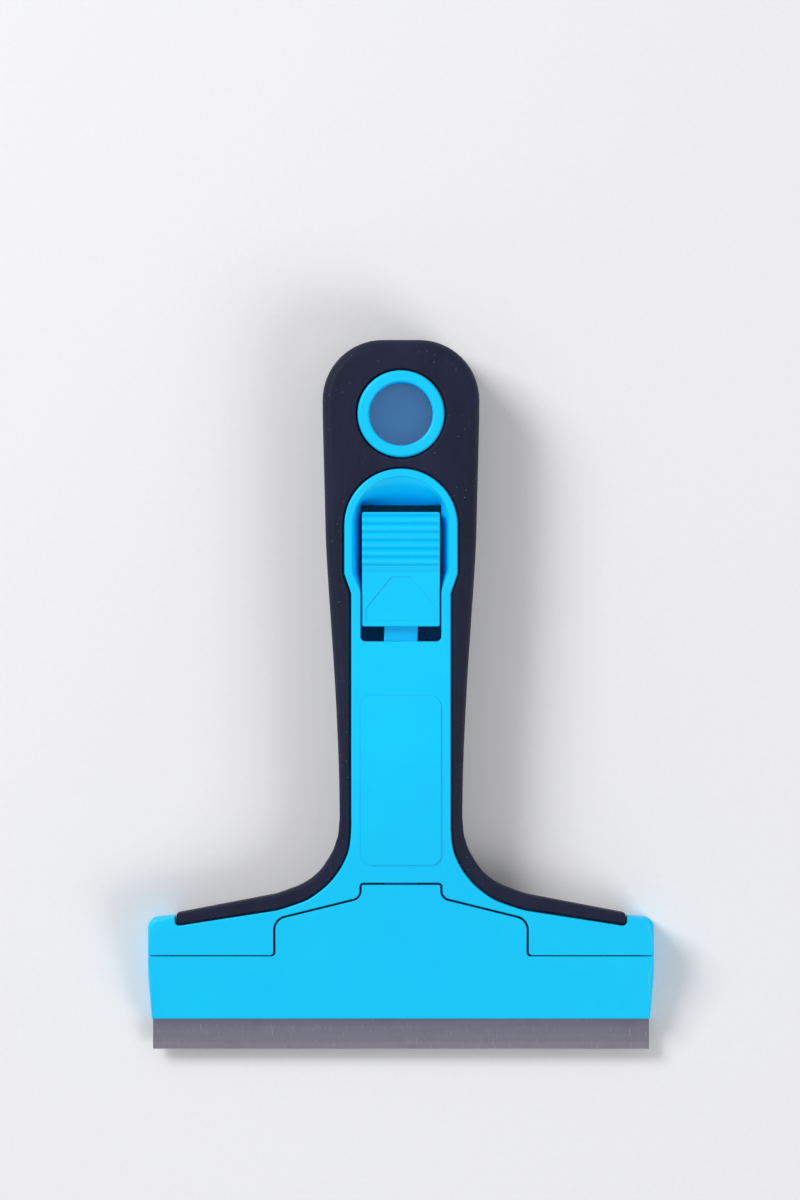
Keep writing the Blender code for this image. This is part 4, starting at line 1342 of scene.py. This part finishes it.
def open_wells(builder, back, wells):
    """Sinks each screw's well into the back, up to where the screw's head sits."""
    ceilings = {
        name: [face for face in back if stands_on(face, spots)]
        for name, spots in wells.items()
    }
    taken = set().union(*ceilings.values())
    for name, ceiling in ceilings.items():
        sink(builder, ceiling, -(middle_of(name)[2] + screw_head_height))
    return [face for face in back if face not in taken]


builder, back, wells = make_case()
well_spots = set.union(*wells.values())
back = open_wells(builder, back, wells)
print("wells for", *screw_names)

# %% [markdown]
# The back is rounded along its outside and only just broken at the wells. On top, the blade's seat
# is lowest, a low stop behind it keeps the blade square, and the wall meets the cover.

# %% The rear body's rims and heights
back_plate, back_edge_round, well_edge_round = 0.0022, 0.0008, 0.0002
blade_seat_height, blade_play = 0.0023, 0.0003
stop_height, stop_length, stop_step = 0.0034, 0.0011, 0.0003
stop_front_station = blade_depth + blade_play
stop_back_station = stop_front_station + stop_step
wall_front_station = stop_front_station + stop_length
wall_back_station = wall_front_station + stop_step


def back_size(vertex):
    """Wells and the ring's hole are only just broken, and the outside is rounded."""
    from_ring = math.hypot(vertex.co.x, vertex.co.y - blade_edge - ring_station)
    near_ring = abs(from_ring - ring_outer_radius) < 2 * ring_seam
    return well_edge_round if spot(vertex) in well_spots or near_ring else back_edge_round


round_rim(builder, back, back_size)
cut_across(builder, profile_marks() + [
    stop_front_station, stop_back_station, wall_front_station, wall_back_station
])
blade_stop = stepped(
    stop_front_station, stop_back_station, level(blade_seat_height), level(stop_height)
)
case_top = stepped(
    wall_front_station, wall_back_station, blade_stop, below_face(shell_depth + seat_gap / 2)
)
set_heights(builder, case_top, level(back_plate), level(0))
finish_piece(builder, "rear_case", blue_abs, "frame", "blue_plastic", "core_body")

# %% [markdown]
# The hanging ring stands in the grip's hole and goes right through the handle. It is round all
# over, so a profile is turned once about the ring's axis, where a tube with bevels would have no
# flange. The flange, inside the case, closes the gap around the ring, so no light comes through.

# %% The hanging ring
ring_steps = 96
ring_hole_radius = 0.00635
ring_inner_chamfer, ring_outer_chamfer = 0.00035, 0.0004
ring_soften, soften_segments, least_turn = 0.00015, 3, math.radians(20)
ring_top = face_height(ring_station)
flange_low, flange_high, flange_reach = back_plate + ring_seam, 0.0035, 0.0012


def turned(builder, profile, station, steps):
    """Turns a closed profile of (radius, height) about an upright axis on the middle line."""
    made = [builder.verts.new((radius, 0, height)) for radius, height in profile]
    rim = [builder.edges.new(pair) for pair in zip(made, made[1:] + made[:1])]
    bmesh.ops.spin(
        builder, geom=made + rim, cent=(0, 0, 0), axis=(0, 0, 1), angle=2 * math.pi, steps=steps,
        use_merge=True
    )
    bmesh.ops.translate(builder, verts=builder.verts, vec=(0, blade_edge + station, 0))
    bmesh.ops.recalc_face_normals(builder, faces=builder.faces)


def soften_edges(builder, size):
    """Rounds every edge at which the surface turns by more than the least turn."""
    hard = [edge for edge in builder.edges if edge.calc_face_angle(0) > least_turn]
    bmesh.ops.bevel(
        builder, geom=hard, affect="EDGES", offset=size, offset_type="OFFSET",
        segments=soften_segments, profile=0.5, material=-1
    )


def ring_profile():
    hole, outside = ring_hole_radius, ring_outer_radius
    return [
        (hole, ring_inner_chamfer), (hole + ring_inner_chamfer, 0), (outside, 0),
        (outside, flange_low), (outside + flange_reach, flange_low),
        (outside + flange_reach, flange_high), (outside, flange_high),
        (outside, ring_top - ring_outer_chamfer), (outside - ring_outer_chamfer, ring_top),
        (hole + ring_inner_chamfer, ring_top), (hole, ring_top - ring_inner_chamfer),
    ]


builder = bmesh.new()
turned(builder, ring_profile(), ring_station, ring_steps)
soften_edges(builder, ring_soften)
finish_piece(builder, "hanging_ring", blue_abs, "frame", "blue_plastic", "core_body")

# %% [markdown]
# Six small pan head screws with a cross recess hold the halves together. Each is drawn as a disc
# with a cross in it. The disc becomes the head, the cross is sunk and narrowed, and the shank is
# pulled out of the underside. The whole screw is then turned over, because it looks backwards.

# %% The screws
screw_head_radius, screw_head_round = 0.0019, 0.0008
screw_shank_radius, screw_tip_share = 0.0011, 0.35
cross_half_width, cross_half_length, cross_depth, cross_taper = 0.0003, 0.00105, 0.0007, 0.6


def cross_corners(station):
    width, length = cross_half_width, cross_half_length
    return [
        (width, station - length, 0), (width, station - width, 0), (length, station - width, 0),
        (length, station + width, 0), (width, station + width, 0), (width, station + length, 0),
    ]


def narrow(builder, faces, station, share):
    """Draws the points of some faces in towards the screw's axis."""
    centre = Matrix.Translation((0, -(blade_edge + station), 0))
    bmesh.ops.scale(builder, verts=points_of(faces), vec=(share, share, 1), space=centre)


def make_screw(name):
    x, station, low = middle_of(name)
    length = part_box(name)[1].z - low - screw_head_height
    builder = bmesh.new()
    rim = circle(builder, 0, station, screw_head_radius, small_circle_steps)
    cross = draw(builder, cross_corners(station))
    head, recess = fill(builder, rim + cross), fill(builder, cross)
    seat = sink(builder, head + recess, screw_head_height)
    round_rim(builder, head + recess, lambda vertex: screw_head_round)
    narrow(builder, sink(builder, recess, cross_depth), station, cross_taper)
    shoulder = screw_head_radius - screw_shank_radius
    bmesh.ops.inset_region(builder, faces=seat, thickness=shoulder, use_boundary=True)
    shank = sink(builder, seat, length - screw_shank_radius)
    narrow(builder, sink(builder, shank, screw_shank_radius), station, screw_tip_share)
    bmesh.ops.scale(builder, verts=builder.verts, vec=(1, 1, -1))
    bmesh.ops.translate(builder, verts=builder.verts, vec=(x, 0, low))
    finish_piece(builder, name.replace("screw", "case_screw"), zinc, "frame", "plated_steel", name)


for name in screw_names:
    make_screw(name)

# %% [markdown]
# A coil spring under the button keeps the jaw shut. A bevelled curve would draw it too, but a spin
# with a rise sweeps a small circle straight into a closed mesh.

# %% The return spring
spring_wire_radius, spring_turns, turn_steps, wire_sides = 0.0003, 6, 40, 12


def make_spring():
    low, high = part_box("button_spring")
    x, station, foot = middle_of("button_spring")
    coil_radius = (high.x - low.x) / 2 - spring_wire_radius
    rise = high.z - low.z - 2 * spring_wire_radius
    builder = bmesh.new()
    wire = bmesh.ops.create_circle(
        builder, cap_ends=True, segments=wire_sides, radius=spring_wire_radius,
        matrix=Matrix.Translation((coil_radius, 0, 0)) @ Matrix.Rotation(math.pi / 2, 4, "X")
    )
    steps = spring_turns * turn_steps
    bmesh.ops.spin(
        builder, geom=region(wire["verts"][0].link_faces[:]), cent=(0, 0, 0), axis=(0, 0, 1),
        dvec=(0, 0, rise / steps), angle=2 * math.pi * spring_turns, steps=steps
    )
    bmesh.ops.translate(
        builder, verts=builder.verts, vec=(x, blade_edge + station, foot + spring_wire_radius)
    )
    return builder


spring = finish_piece(make_spring(), "coil_spring", zinc, "frame", "plated_steel", "button_spring")
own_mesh(spring)

# %% [markdown]
# ## Picture
#
# The tool is seen straight from above. A long lens, from nearly two metres away, leaves it no
# perspective to speak of, so its upright sides stay out of sight.

# %% The camera
view_height = 0.2424
lens, sensor, view_end = 280, 36, 10
view_across, view_station = -0.0002, 0.0905
camera_height = view_height * lens / sensor
camera = bpy.data.objects.new("camera", bpy.data.cameras.new("camera"))
camera.data.lens = lens
camera.data.sensor_width = sensor
camera.data.clip_end = view_end
camera.location = (view_across, blade_edge + view_station, camera_height)
bpy.context.scene.collection.objects.link(camera)
bpy.context.scene.camera = camera
print("camera", round(camera_height, 3), "over the floor")

# %% [markdown]
# It lies on a plain pale sheet. A little grain in the sheet keeps its large even tone from looking
# empty, and it is just below white so that the shadow around the tool can be read.

# %% The floor
floor_size, floor_gap = 0.9, 0.0002


def make_paper():
    fibre_size, fibre_depth, matt = 0.8, 0.00002, (0.8, 0.9)
    material, tree, place = start_finish("pale_paper", roughness=0.85)
    fibres = add(tree, "TexNoise", {
        "Vector": place, "Scale": 1 / fibre_size, "Detail": 4, "Roughness": 0.6,
    })
    colour = add(tree, "Mix", (fibres, linear("#EAEAEC"), linear("#F0F0F2")), data_type="RGBA")
    roughness = add(tree, "MapRange", (fibres, *usual_noise, *matt))
    return finish_surface(material, colour, roughness, fibres, fibre_depth)


def make_floor():
    mesh = bpy.data.meshes.new("floor")
    builder = bmesh.new()
    bmesh.ops.create_grid(builder, x_segments=1, y_segments=1, size=floor_size)
    bmesh.ops.translate(builder, verts=builder.verts, vec=(0, 0, -floor_gap))
    builder.to_mesh(mesh)
    builder.free()
    mesh.materials.append(make_paper())
    floor = bpy.data.objects.new("floor", mesh)
    bpy.context.scene.collection.objects.link(floor)


make_floor()

# %% [markdown]
# The world is white where it is seen, directly, mirrored or through something clear, and dimmer as
# a light. The rest of the light comes from two large soft lamps at a slant, out of the mirror
# direction of the flat faces. Together they light a level surface to about its painted colour.

# %% The light
surround = 0.42
key_place, key_size, key_power = (-0.75, 0.6, 0.75), 0.5, 9.8
fill_place, fill_size, fill_power = (0.8, -0.6, 0.75), 0.6, 5.2


def make_world():
    world = bpy.data.worlds.new("studio")
    bpy.context.scene.world = world
    world.use_nodes = True
    tree = world.node_tree
    path = add(tree, "LightPath").node
    seen = add(tree, "Math", (path.outputs["Is Camera Ray"], path.outputs["Is Glossy Ray"]))
    either = add(tree, "Math", (seen, path.outputs["Is Transmission Ray"]))
    strength = add(tree, "MapRange", (either, 0, 1, surround, 1))
    tree.nodes["Background"].inputs["Color"].default_value = (1, 1, 1, 1)
    tree.links.new(strength, tree.nodes["Background"].inputs["Strength"])


def softbox(name, place, size, power):
    lamp = bpy.data.lights.new(name, "AREA")
    lamp.size = size
    lamp.energy = power
    holder = bpy.data.objects.new(name, lamp)
    holder.location = place
    holder.rotation_euler = (-Vector(place)).to_track_quat("-Z", "Y").to_euler()
    bpy.context.scene.collection.objects.link(holder)
    print(name, power, "W")


make_world()
softbox("key_light", key_place, key_size, key_power)
softbox("fill_light", fill_place, fill_size, fill_power)
bpy.context.scene.view_settings.view_transform = "Standard"
